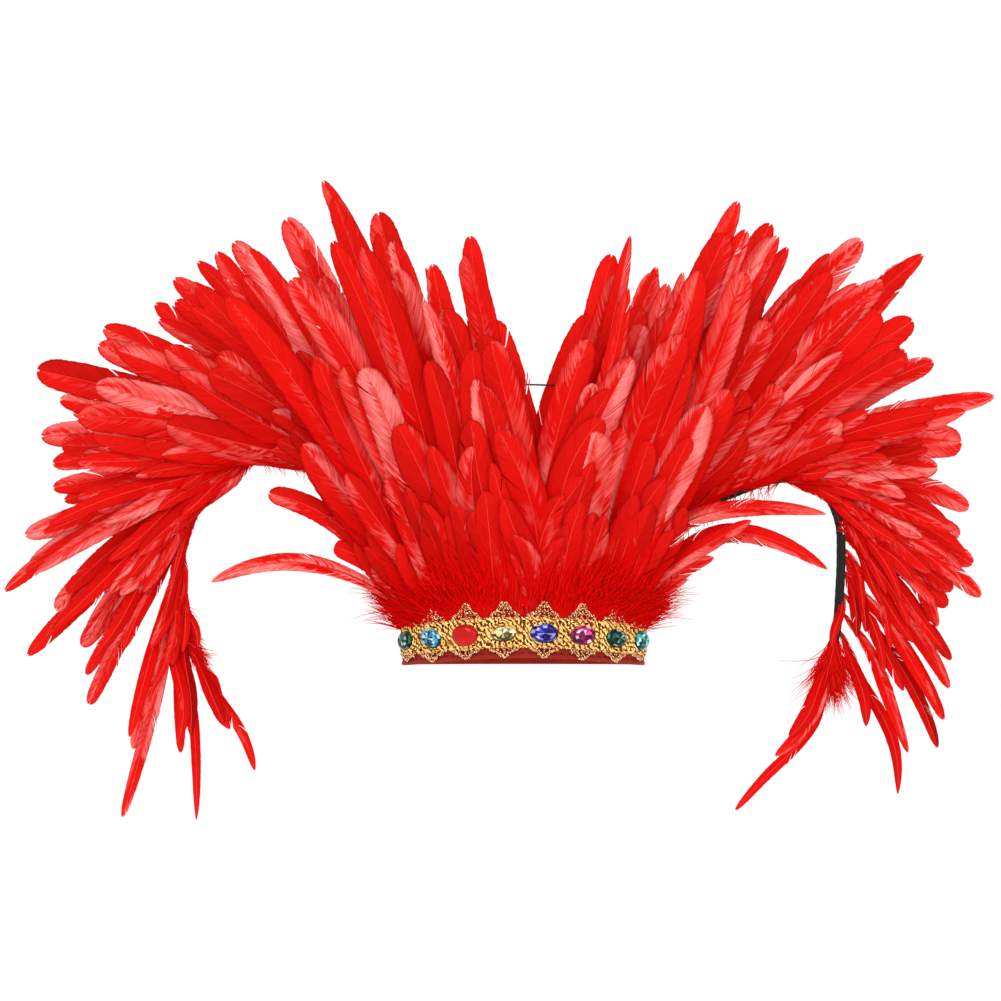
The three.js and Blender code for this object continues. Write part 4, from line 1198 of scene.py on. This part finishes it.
@dataclass
class Plumage:
    """All the plumes: a piece for each row of the solids."""

    halves: Sequence[Half]
    vane: FeatherFinish
    quill: QuillFinish
    tape: ClothFinish
    black: ClothFinish
    stretches: tuple[tuple[str, int, int], ...] = (("inner", 0, 7), ("crest", 8, 15), ("droop", 16, 23))

    def build(self) -> list[bpy.types.Object]:
        """Makes every row's piece."""
        red, black = self.tape.build(), self.black.build()
        vane, quill = self.vane.build(), self.quill.build()
        made = []
        for half in self.halves:
            for row in (BACK, FRONT):
                made.append(self.crown_row(half, row, [vane, quill, red]))
                for stretch in self.stretches:
                    dark = half.side > 0 and stretch[0] != "inner"
                    made.append(self.wing_row(half, row, stretch, [vane, quill, black if dark else red]))
            made.append(self.side_row(half, [vane, quill, red]))
        return made

    def finish(self, bag: FeatherBag, node: str, materials: Sequence[bpy.types.Material]) -> bpy.types.Object:
        """Makes a row's object, in place of its solid."""
        piece = bag.build(f"{node}_feathers", materials)
        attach(piece, BODY)
        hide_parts(node)
        log.info("%s: %d faces", piece.name, len(piece.data.polygons))
        return piece

    def crown_row(self, half: Half, row: Row, materials: Sequence[bpy.types.Material]) -> bpy.types.Object:
        """Makes one row of the crown."""
        bag = FeatherBag(half.rng)
        middle, bottom = half.crown_seat(row)
        last = BAND.length_at(half.crown_half_angle)
        self.band_tape(half, bag, (half.inset - 2, last), middle, bottom, TAPE_WIDTH)
        for turn in range(len(half.crown)):
            reach = row.reaches[turn % len(row.reaches)]
            plume = half.crown_plume(row, min(turn + row.shift, len(half.crown) - 1), reach)
            if row.way < 0:
                plume.width = max(plume.width, LEAST_FRONT_WIDTH)
            bag.add(half.loosen(plume))
        half.extras(CROWN_EXTRAS, half.crown_plume, bag, (0, 99), row)
        if row.way < 0:
            half.crown_down(bag)
        return self.finish(bag, f"{half.name}_crown_{row.name}_row", materials)

    def band_tape(self, half: Half, bag: FeatherBag, span: tuple[float, float], middle: float, bottom: float,
                  width: float) -> None:
        """Adds the tape of a row that stands on the band."""
        lengths = [half.side * length for length in np.linspace(*span, 24)]
        points = np.array([BAND.point(length, middle, bottom + width / 2) for length in lengths])
        outs = np.array([BAND.at(length)[2] for length in lengths])
        bag.ribbon(points, np.tile((0.0, 0.0, 1.0), (24, 1)), outs, width, TAPE_THICKNESS)

    def wing_row(self, half: Half, row: Row, stretch: tuple[str, int, int],
                 materials: Sequence[bpy.types.Material]) -> bpy.types.Object:
        """Makes one stretch of a wing's row."""
        name, first, last = stretch
        bag = FeatherBag(half.rng)
        self.wing_tape(half, bag, row, first, last)
        for turn, place in enumerate(range(first, last + 1)):
            reach = row.reaches[turn % len(row.reaches)]
            plume = half.wing_plume(row, place + row.shift, reach)
            if row.way < 0:
                plume.width = max(plume.width, LEAST_FRONT_WIDTH) if place < 9 else 12.0 if place < 16 else 9.5
                plume.blunt = plume.blunt if place < 9 else plume.blunt * 0.4
            elif place < 16:
                plume.width *= 1.1
                plume.blunt = 0.3 + 0.7 * plume.blunt
            else:
                plume.width *= 0.78
            bag.add(half.loosen(plume))
        half.extras(WING_EXTRAS, half.wing_plume, bag, (first, last + 1), row)
        half.wing_down(bag, row, first, last)
        return self.finish(bag, f"{half.name}_wing_{name}_{row.name}_row", materials)

    def wing_tape(self, half: Half, bag: FeatherBag, row: Row, first: int, last: int) -> None:
        """Adds the tape of a stretch of a wing's row."""
        places = np.linspace(first - 0.02, last + 0.28, 60)
        found = [half.on_wing(place) for place in places]
        outs = np.array([half.wire.outward(way) for _, way in found])
        shift = np.array((0.0, row.way * (half.wire.radius + GAP + TAPE_THICKNESS / 2), 0.0))
        outward, width = (1.0, 4.8) if half.side > 0 and first > 0 else (TAPE_OUTWARD, TAPE_WIDTH)
        points = np.array([at for at, _ in found]) + outs * outward + shift
        bag.ribbon(points, outs, np.tile((0.0, 1.0, 0.0), (60, 1)), width, TAPE_THICKNESS)

    def side_row(self, half: Half, materials: Sequence[bpy.types.Material]) -> bpy.types.Object:
        """Makes the plumes at one end of the band."""
        bag = FeatherBag(half.rng)
        span = (BAND.length_at(math.radians(51)) - 3, BAND.length_at(math.radians(64)) + 3)
        self.band_tape(half, bag, span, -TAPE_THICKNESS / 2, BAND.height + GAP, 10)
        for place in range(len(half.ends)):
            plume = half.loosen(half.side_plume(place))
            plume.down = 0.0
            if half.side > 0:
                plume.blunt *= 0.2
            bag.add(plume)
            if place < 2 or half.side > 0:
                continue
            short = half.loosen(half.side_plume(place, 1.5, half.rng.uniform(0.45, 0.58)), (0.0, 0.3))
            short.width, short.foot, short.down = 13.0, 0.6, 0.0
            bag.add(short)
        half.side_down(bag)
        return self.finish(bag, f"{half.name}_side_plumes", materials)


# Band, lace, stones, wires and thread


def make_object(name: str, shape: bmesh.types.BMesh, materials: Sequence[bpy.types.Material],
                smooth: bool = True) -> bpy.types.Object:
    """Turns a bmesh in millimetres into an object at the origin.

    Args:
        name: The object's name.
        shape: The bmesh, freed here.
        materials: The materials, by place.
        smooth: Whether its faces are shaded smooth.

    Returns:
        The object.
    """
    bmesh.ops.scale(shape, vec=(MM, MM, MM), verts=shape.verts)
    mesh = bpy.data.meshes.new(name)
    for face in shape.faces:
        face.smooth = smooth
    shape.to_mesh(mesh)
    shape.free()
    for material in materials:
        mesh.materials.append(material)
    obj = bpy.data.objects.new(name, mesh)
    bpy.context.scene.collection.objects.link(obj)
    return obj


def add_cords(shape: bmesh.types.BMesh, courses: Sequence[np.ndarray], radius: float, slot: int = 0,
              resolution: int = 1, closed: bool = False, swell: Sequence[np.ndarray] | None = None) -> None:
    """Adds round cords to a bmesh, swept along their courses.

    Args:
        shape: The bmesh, in millimetres.
        courses: Points along each cord.
        radius: The cords' radius.
        slot: The material's place.
        resolution: How round they are.
        closed: Whether each cord's end joins its start.
        swell: Shares of the radius at each point, when it isn't even.
    """
    curve = bpy.data.curves.new("cords", "CURVE")
    curve.dimensions = "3D"
    curve.bevel_depth, curve.bevel_resolution, curve.use_fill_caps = radius, resolution, not closed
    for place, course in enumerate(courses):
        spline = curve.splines.new("POLY")
        spline.points.add(len(course) - 1)
        spline.points.foreach_set("co", np.column_stack([course, np.ones(len(course))]).ravel())
        if swell is not None:
            spline.points.foreach_set("radius", swell[place])
        spline.use_cyclic_u = closed
    holder = bpy.data.objects.new("cords", curve)
    mesh = bpy.data.meshes.new_from_object(holder)
    before = len(shape.faces)
    shape.from_mesh(mesh)
    shape.faces.ensure_lookup_table()
    for face in shape.faces[before:]:
        face.material_index = slot
    bpy.data.objects.remove(holder)
    bpy.data.meshes.remove(mesh)
    bpy.data.curves.remove(curve)


def add_copies(shape: bmesh.types.BMesh, pattern: bmesh.types.BMesh, spots: np.ndarray, sizes: np.ndarray,
               slot: int) -> None:
    """Adds many copies of a small shape to a bmesh at once.

    Args:
        shape: The bmesh, in millimetres.
        pattern: The shape to copy, freed here.
        spots: Where each copy goes.
        sizes: Each copy's size.
        slot: The material's place.
    """
    verts = np.array([vert.co for vert in pattern.verts])
    rings = [[vert.index for vert in face.verts] for face in pattern.faces]
    pattern.free()
    totals = np.array([len(ring) for ring in rings], np.int32)
    ring = np.concatenate(rings)
    many = len(spots)
    mesh = bpy.data.meshes.new("copies")
    mesh.vertices.add(many * len(verts))
    mesh.vertices.foreach_set("co", (spots[:, None] + verts * sizes[:, None, None]).astype(np.float32).ravel())
    mesh.loops.add(many * len(ring))
    corners = ring + np.arange(many)[:, None] * len(verts)
    mesh.loops.foreach_set("vertex_index", corners.astype(np.int32).ravel())
    mesh.polygons.add(many * len(totals))
    all_totals = np.tile(totals, many)
    mesh.polygons.foreach_set("loop_start", np.concatenate([[0], np.cumsum(all_totals)[:-1]]).astype(np.int32))
    mesh.polygons.foreach_set("loop_total", all_totals)
    mesh.polygons.foreach_set("material_index", np.full(len(all_totals), slot, np.int32))
    mesh.update(calc_edges=True)
    shape.from_mesh(mesh)
    bpy.data.meshes.remove(mesh)


def dress(piece: bpy.types.Object, node: str) -> bpy.types.Object:
    """Puts a piece in place of a node of the solids."""
    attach(piece, BODY)
    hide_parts(node)
    log.info("%s: %d faces", piece.name, len(piece.data.polygons))
    return piece


@dataclass
class Headband:
    """The padded red cloth band, with a rolled edge above and below and a row of stitches."""

    cloth: ClothFinish
    stitch: QuillFinish
    steps: int = 220
    roll: float = 1.2
    stitch_every: float = 5.2
    stitch_long: float = 2.6

    def outline(self) -> list[tuple[float, float]]:
        """The band's section: its depth out of the outer face and its height."""
        back, top = -BAND.thickness, BAND.height
        return [
            (-0.5, 0), (-0.1, 0.5), (0.05, 1.3), (-0.15, 2.2), (-0.55, 2.8), (-0.3, 4.5), (-0.15, 8), (-0.15, 16),
            (-0.3, 20.5), (-0.5, 21.6), (-0.1, 22.3), (0, 23.1), (-0.3, top), (-1.2, top + 0.05), (back + 0.3, top),
            (back, 23), (back + 0.3, 21.5), (back + 0.25, 12), (back + 0.3, 2.5), (back, 1), (back + 0.3, 0),
            (-1.2, -0.05),
        ]

    def build(self) -> bpy.types.Object:
        """Makes the band from a grid that is bent round its oval."""
        section = self.outline()
        shape = bmesh.new()
        bmesh.ops.create_grid(shape, x_segments=self.steps, y_segments=len(section), size=0.5)
        for vert in shape.verts:
            length = (vert.co.x * 2) * BAND.half_length
            place = (vert.co.y + 0.5) * len(section)
            depth, height = section[int(round(place)) % len(section)]
            vert.co = BAND.point(length, depth, height)
        bmesh.ops.remove_doubles(shape, verts=shape.verts, dist=0.02)
        bmesh.ops.recalc_face_normals(shape, faces=shape.faces)
        ends = np.arange(-96, 96, self.stitch_every)
        courses = []
        for start in ends:
            lengths = np.linspace(start, start + self.stitch_long, 5)
            rise = np.sin(np.linspace(0, math.pi, 5)) * 0.18
            courses.append(np.array([BAND.point(u, 0.05 + r, 3.4) for u, r in zip(lengths, rise)]))
        add_cords(shape, courses, 0.22, slot=1)
        piece = make_object("headband_cloth", shape, [self.cloth.build(), self.stitch.build()])
        return dress(piece, "headband")


LACE_REPEAT = 25.3
LACE_STRIP = (7.0, 25.5)
LACE_FANS = (11.0, 6.5)
LACE_END_FAN = 0.6
LACE_FAN_HALF = 10.5
LACE_LIFT = 0.5
STONE_HEIGHT = 15.8
FAN_EDGE = ((0, 1), (0.1, 0.98), (0.3, 0.7), (0.52, 0.32), (0.72, 0.36), (0.94, 0))


@dataclass
class GoldLace:
    """The pierced gold lace: a gimp ground, coiled cords, a looped ring round each stone and beaded fans."""

    ground: GoldThreadFinish
    cord: GoldThreadFinish
    bead: GoldThreadFinish
    rng: np.random.Generator
    end: float = LACE_REPEAT * 4

    def place(self, flat: np.ndarray, lift: float | np.ndarray) -> np.ndarray:
        """Bends flat points (along the band, height) round it at a lift from the lace's back."""
        lifts = np.broadcast_to(lift, len(flat))
        return np.array([BAND.point(u, LACE_LIFT + d, z) for (u, z), d in zip(flat, lifts)])

    def build(self) -> bpy.types.Object:
        """Makes the whole trim."""
        shape = bmesh.new()
        self.add_ground(shape)
        self.add_coils(shape)
        spots: list[np.ndarray] = []
        for repeat, stone in enumerate(STONES):
            along = (repeat - 3.5) * LACE_REPEAT
            share = LACE_END_FAN if repeat in (0, len(STONES) - 1) else 1.0
            self.add_ring(shape, along, stone)
            spots += self.add_fan(shape, along, share, 1) + self.add_fan(shape, along, share, -1)
        bead = bmesh.new()
        bmesh.ops.create_uvsphere(bead, u_segments=7, v_segments=5, radius=1)
        add_copies(shape, bead, np.array(spots), self.rng.uniform(0.55, 0.92, len(spots)), 2)
        piece = make_object("gold_lace_gimp", shape, [self.ground.build(), self.cord.build(), self.bead.build()])
        return dress(piece, "gold_lace_trim")

    def add_ground(self, shape: bmesh.types.BMesh) -> None:
        """Adds the strip that carries the cords: a tube of four sides bent round the band."""
        low, high = LACE_STRIP
        section = [(0, low + 0.4), (0.8, low + 0.6), (1.0, (low + high) / 2), (0.8, high - 0.6), (0, high - 0.4)]
        bmesh.ops.create_grid(shape, x_segments=110, y_segments=len(section), size=0.5)
        for vert in shape.verts:
            depth, height = section[int(round((vert.co.y + 0.5) * len(section))) % len(section)]
            vert.co = BAND.point(vert.co.x * 2 * self.end, LACE_LIFT + depth, height)
        bmesh.ops.remove_doubles(shape, verts=shape.verts, dist=0.01)
        loose = [edge for edge in shape.edges if len(edge.link_faces) == 1]
        bmesh.ops.holes_fill(shape, edges=loose, sides=12)
        bmesh.ops.recalc_face_normals(shape, faces=shape.faces)

    def add_coils(self, shape: bmesh.types.BMesh) -> None:
        """Adds the coiled gimp along both edges and two rows of loops between them."""
        courses, fine = [], []
        for height, size, pitch, turn in ((22.4, 2.4, 4.5, 1), (10.1, 2.4, 4.5, -1), (18.4, 1.9, 4.2, -1),
                                          (13.8, 1.9, 4.2, 1)):
            loops = int(2 * self.end / pitch)
            phase = np.linspace(0, loops * 2 * math.pi, loops * 9)
            drift = np.cumsum(self.rng.normal(0, 0.012, len(phase)))
            u = -self.end + 1 + (2 * self.end - 2) * phase / phase[-1] + size * np.sin(phase + drift)
            z = height + turn * size * np.cos(phase + drift) * (1 + 0.12 * np.sin(phase * 0.37))
            courses.append(self.place(np.column_stack([u, z]), 1.05 + 0.35 * np.sin(phase * 0.5 + height)))
        for height in (LACE_STRIP[1] - 0.2, LACE_STRIP[0] + 0.2):
            u = np.linspace(-self.end + 0.6, self.end - 0.6, 640)
            fine.append(self.place(np.column_stack([u, height + 0.55 * np.sin(u * 3.4)]), 0.75))
        add_cords(shape, courses, 0.76, slot=1)
        add_cords(shape, fine, 0.5, slot=1)

    def add_ring(self, shape: bmesh.types.BMesh, along: float, stone: Stone) -> None:
        """Adds the looped cord and the plain cord round a stone's seat."""
        turns = 20
        phase = np.linspace(0, 2 * math.pi, turns * 9, endpoint=False)
        loop = phase * turns
        wide, tall = stone.long / 2 + 1.9, stone.tall / 2 + 1.7
        spin = np.array([[math.cos(stone.tilt), -math.sin(stone.tilt)], [math.sin(stone.tilt), math.cos(stone.tilt)]])
        middle = np.array([along, STONE_HEIGHT])
        ring = np.column_stack([(wide + 0.95 * np.cos(loop)) * np.cos(phase) - 0.95 * np.sin(loop) * np.sin(phase),
                                (tall + 0.95 * np.cos(loop)) * np.sin(phase) + 0.95 * np.sin(loop) * np.cos(phase)])
        seat = np.column_stack([(wide - 1.5) * np.cos(phase[::4]), (tall - 1.3) * np.sin(phase[::4])])
        add_cords(shape, [self.place(middle + ring @ spin.T, 1.75 + 0.25 * np.cos(loop))], 0.46, slot=1, closed=True)
        add_cords(shape, [self.place(middle + seat @ spin.T, 1.7)], 0.62, slot=1, closed=True)

    def add_fan(self, shape: bmesh.types.BMesh, along: float, share: float, way: int) -> list[np.ndarray]:
        """Finds the places of a fan's beads above or below a stone, inside it and along its outline.

        Args:
            shape: The bmesh; not used.
            along: The stone's place along the band.
            share: The fan's height as a share of a whole one.
            way: 1 for the fan above, -1 for the one below.

        Returns:
            Where its beads go.
        """
        spots = []
        foot = LACE_STRIP[1] if way > 0 else LACE_STRIP[0]
        tall = (LACE_FANS[0] if way > 0 else LACE_FANS[1]) * share
        outs, rises = zip(*FAN_EDGE)
        pitch = 1.42
        for level in range(int(tall / (pitch * 0.87)) + 1):
            height = (level + 0.3) * pitch * 0.87
            for step in range(-9, 10):
                u = (step + (level % 2) / 2) * pitch
                limit = np.interp(abs(u) / LACE_FAN_HALF, outs, rises) * tall
                if abs(u) > LACE_FAN_HALF or height > limit - 0.2 or self.pierced(u, height, tall):
                    continue
                flat = np.array([[along + u, foot + way * height]]) + self.rng.normal(0, 0.28, (1, 2))
                spots.append(self.place(flat, self.rng.uniform(0.3, 1.6))[0])
        half = FAN_EDGE[1:]
        edge = [(way_out * out * LACE_FAN_HALF, rise * tall * 0.96) for way_out, outline in ((-1, half[::-1]), (1, half))
                for out, rise in outline]
        fine = self.soften(np.array(edge), int(34 * (0.5 + 0.5 * share)))
        flat = np.column_stack([along + fine[:, 0], foot + way * fine[:, 1]])
        spots += list(self.place(flat + self.rng.normal(0, 0.3, flat.shape), 0.8))
        return spots

    def pierced(self, u: float, height: float, tall: float) -> bool:
        """Whether a place of a fan lies in one of its holes."""
        for at_u, at_z, wide, high in ((1.5, 0.5, 0.7, 0.09), (1.9, 0.2, 0.8, 0.08), (5.4, 0.12, 1.1, 0.1)):
            if ((abs(u) - at_u) / wide) ** 2 + ((height / tall - at_z) / high) ** 2 < 1:
                return True
        return False

    def soften(self, corners: np.ndarray, many: int) -> np.ndarray:
        """Spreads points evenly along an outline and rounds its corners."""
        hops = np.concatenate([[0], np.cumsum(np.linalg.norm(np.diff(corners, axis=0), axis=1))])
        spots = np.linspace(0, hops[-1], many)
        even = np.column_stack([np.interp(spots, hops, corners[:, k]) for k in (0, 1)])
        for _ in range(2):
            even[1:-1] = (even[:-2] + 2 * even[1:-1] + even[2:]) / 4
        return even


@dataclass
class Stones:
    """The eight acrylic stones, each in place of its solid."""

    rng: np.random.Generator
    lift: float = 2.2
    profile: tuple[tuple[float, float], ...] = ((1.0, 0), (1.0, 0.9), (0.9, 2.2), (0.76, 3.2), (0.56, 3.9), (0, 4.1))

    def build(self) -> list[bpy.types.Object]:
        """Makes every stone."""
        return [self.stone(place, stone) for place, stone in enumerate(STONES)]

    def stone(self, place: int, stone: Stone) -> bpy.types.Object:
        """Spins a stone's profile and sets it on the lace.

        Args:
            place: Its place from the left.
            stone: The stone.

        Returns:
            The piece.
        """
        shape = bmesh.new()
        verts = [shape.verts.new((out, 0, up)) for out, up in self.profile]
        edges = [shape.edges.new(pair) for pair in zip(verts, verts[1:])]
        steps = 48 if stone.smooth else 14
        bmesh.ops.spin(shape, geom=verts + edges, cent=(0, 0, 0), axis=(0, 0, 1), angle=math.tau, steps=steps,
                       use_merge=True)
        bmesh.ops.remove_doubles(shape, verts=shape.verts, dist=1e-4)
        loose = [edge for edge in shape.edges if len(edge.link_faces) == 1]
        bmesh.ops.holes_fill(shape, edges=loose, sides=steps + 1)
        bmesh.ops.recalc_face_normals(shape, faces=shape.faces)
        bmesh.ops.scale(shape, vec=(stone.long / 2, stone.tall / 2, 1), verts=shape.verts)
        along = (place - 3.5) * LACE_REPEAT
        _, _, out, heading = BAND.at(along)
        tangent = Vector((math.cos(heading), math.sin(heading), 0))
        turn = Matrix((tangent, Vector((0, 0, 1)), out)).transposed().to_4x4() @ Matrix.Rotation(stone.tilt, 4, "Z")
        spot = BAND.point(along, self.lift, STONE_HEIGHT)
        bmesh.ops.transform(shape, matrix=Matrix.Translation(spot) @ turn, verts=shape.verts)
        glints = [self.glint(face, spot, stone.smooth) for face in shape.faces]
        finish = AcrylicFinish(f"acrylic_{stone.node[6:]}", stone.colour)
        piece = make_object(f"{stone.node}_cut", shape, [finish.build()], smooth=stone.smooth)
        layer = piece.data.attributes.new("glint", "FLOAT", "FACE")
        layer.data.foreach_set("value", np.array(glints, np.float32))
        return dress(piece, stone.node)

    def glint(self, face: bmesh.types.BMFace, spot: Vector, smooth: bool) -> float:
        """How bright a facet's painted glint is: a random share, a little more on the upper facets."""
        if smooth:
            return 0.4
        # Upper facets come out a little brighter: painted light from above.
        up = (face.calc_center_median() - spot).z
        return float(np.clip(self.rng.beta(0.8, 1.9) + 0.04 * up, 0, 1))


@dataclass
class WrappedWire:
    """A wing's wire, wound with overlapping turns of black cloth tape."""

    half: Half
    tape: ClothFinish
    turn_mm: float = 6.5

    def build(self) -> bpy.types.Object:
        """Makes the wire."""
        wire = self.half.wire
        spots = np.arange(0, wire.whole, 0.8)
        course = np.array([wire.at(spot)[0] for spot in spots])
        saw = (spots / self.turn_mm) % 1
        swell = 0.93 + 0.09 * np.minimum(saw / 0.85, (1 - saw) / 0.15)
        shape = bmesh.new()
        add_cords(shape, [course], wire.radius, resolution=4, swell=[swell])
        piece = make_object(f"{self.half.name}_wing_wire_wound", shape, [self.tape.build()])
        return dress(piece, f"{self.half.name}_wing_wire")


@dataclass
class BraceThread:
    """The brace thread across the notch: two plies twisted round each other."""

    halves: Sequence[Half]
    finish: ClothFinish
    height: float = 181.0
    room: float = 1.6
    ply: float = 0.36
    twist_mm: float = 2.6

    def end(self, half: Half) -> np.ndarray:
        """Where the thread is tied to a half's innermost back plume."""
        plume = half.crown_plume(BACK, 0, 1)
        line = plume.line(np.linspace(0, 1, 201))[0]
        place = int(np.argmax(line[:, 1] >= self.height))
        y = plume.depth(line[place:place + 1], np.array([plume.length * place / 200]))[0]
        return np.array([line[place, 0], y - half.side * self.room, self.height])

    def build(self) -> bpy.types.Object:
        """Makes the thread."""
        left, right = (self.end(half) for half in self.halves)
        share = np.linspace(0, 1, 90)[:, None]
        middle = left + (right - left) * share
        turn = share[:, 0] * np.linalg.norm(right - left) / self.twist_mm * math.tau
        courses = []
        for start in (0, math.pi):
            around = np.column_stack([0 * turn, np.cos(turn + start), np.sin(turn + start)])
            courses.append(middle + around * self.ply * 0.8)
        shape = bmesh.new()
        add_cords(shape, courses, self.ply)
        piece = make_object("brace_thread_twisted", shape, [self.finish.build()])
        return dress(piece, "brace_thread")


# Stage


@dataclass(frozen=True)
class Studio:
    """A pale floor, soft light all round and the camera at the photo's angle."""

    floor_z: float = -0.62
    aim: tuple[float, float, float] = (-0.015, -0.06, 0.107)
    rise: float = math.radians(3)
    away: float = 1.81
    lens: float = 100.15

    def build(self) -> None:
        """Makes the floor, the lights and the camera."""
        self.floor()
        self.world()
        self.light("key", (-0.9, -2.2, 2.1), (0, 0, 0.1), 34, 1.6)
        self.light("fill", (1.6, -2.0, 0.9), (0, 0, 0.1), 14, 1.8)
        self.light("back", (0.2, 2.0, 2.2), (0, 0, 0.1), 20, 1.8)
        self.camera()

    def floor(self) -> None:
        """Makes the floor."""
        mesh = bpy.data.meshes.new("floor")
        shape = bmesh.new()
        bmesh.ops.create_grid(shape, x_segments=1, y_segments=1, size=30)
        bmesh.ops.translate(shape, vec=(0, 0, self.floor_z), verts=shape.verts)
        shape.to_mesh(mesh)
        shape.free()
        material, tree = new_material("floor_white_paper")
        surface = add_node(tree, "ShaderNodeBsdfPrincipled", {"Base Color": colour(0xFFFFFF), "Roughness": 0.9})
        add_node(tree, "ShaderNodeOutputMaterial", {"Surface": surface.outputs[0]})
        mesh.materials.append(material)
        obj = bpy.data.objects.new("floor", mesh)
        bpy.context.scene.collection.objects.link(obj)

    def world(self) -> None:
        """Makes the even white surroundings."""
        world = bpy.data.worlds.new("studio")
        world.use_nodes = True
        tree = world.node_tree
        tree.nodes.clear()
        back = add_node(tree, "ShaderNodeBackground", {"Color": colour(0xFFFFFF), "Strength": 1.0})
        add_node(tree, "ShaderNodeOutputWorld", {"Surface": back.outputs[0]})
        bpy.context.scene.world = world

    def light(self, name: str, place: tuple[float, float, float], at: tuple[float, float, float],
              power: float, size: float) -> None:
        """Makes a square soft light that points at a place."""
        data = bpy.data.lights.new(name, "AREA")
        data.energy, data.size = power, size
        obj = bpy.data.objects.new(name, data)
        obj.location = place
        obj.rotation_euler = (Vector(at) - Vector(place)).to_track_quat("-Z", "Y").to_euler()
        bpy.context.scene.collection.objects.link(obj)

    def camera(self) -> None:
        """Makes the camera."""
        data = bpy.data.cameras.new("camera")
        data.lens, data.sensor_width = self.lens, 36
        obj = bpy.data.objects.new("camera", data)
        way = Vector((0, math.cos(self.rise), math.sin(self.rise)))
        obj.location = Vector(self.aim) - way * self.away
        obj.rotation_euler = (math.pi / 2 + self.rise, 0, 0)
        bpy.context.scene.collection.objects.link(obj)
        bpy.context.scene.camera = obj
        bpy.context.scene.view_settings.view_transform = "Standard"


def main() -> None:
    """Builds every piece in order."""
    logging.basicConfig(level=logging.INFO, format="%(name)s: %(message)s")
    Studio().build()
    halves = (
        Half("left", -1, 2.0, LEFT_CROWN, LEFT_WING, LEFT_SIDE, WirePath(-1, LEFT_WIRE), np.random.default_rng(11)),
        Half("right", 1, 9.0, RIGHT_CROWN, RIGHT_WING, RIGHT_SIDE, WirePath(1, RIGHT_WIRE), np.random.default_rng(29)),
    )
    vane = FeatherFinish("dyed_cock_feather_barbs", 0xDE0603, 0xD40705, 0xDC1812, 0xFF8882)
    quill = QuillFinish("dyed_quill_horn", 0xE2352C, 0xC00C08)
    tape = ClothFinish("red_cotton_tape", 0xC40C08, 0x960806, 0.8)
    black = ClothFinish("black_cloth_tape", 0x2A2422, 0x0C0A0A, 0.7, 0.7)
    Plumage(halves, vane, quill, tape, black).build()
    Headband(
        ClothFinish("red_felted_band_cloth", 0xA02A1C, 0x6E160E, 0.7),
        QuillFinish("dark_red_sewing_thread", 0x701412, 0x4A0C0C),
    ).build()
    GoldLace(
        # The ground's gold is darker all over than the cords': painted shade between and under them.
        GoldThreadFinish("gold_gimp_ground", 0x8A4818, 0x54240A, 0x2C0E04, 1.2),
        GoldThreadFinish("gold_gimp_cord", 0xFFDC88, 0xE8A040, 0x74340E, 2.9),
        GoldThreadFinish("gold_metallised_bead", 0xFFD09A, 0xCC7A40, 0x5E260C, 1.3, 0.2),
        np.random.default_rng(5),
    ).build()
    Stones(np.random.default_rng(17)).build()
    for half in halves:
        WrappedWire(half, black).build()
    BraceThread(halves, ClothFinish("dark_waxed_thread", 0x5A1818, 0x300C0C, 0.5)).build()


if __name__ == "__main__":
    main()
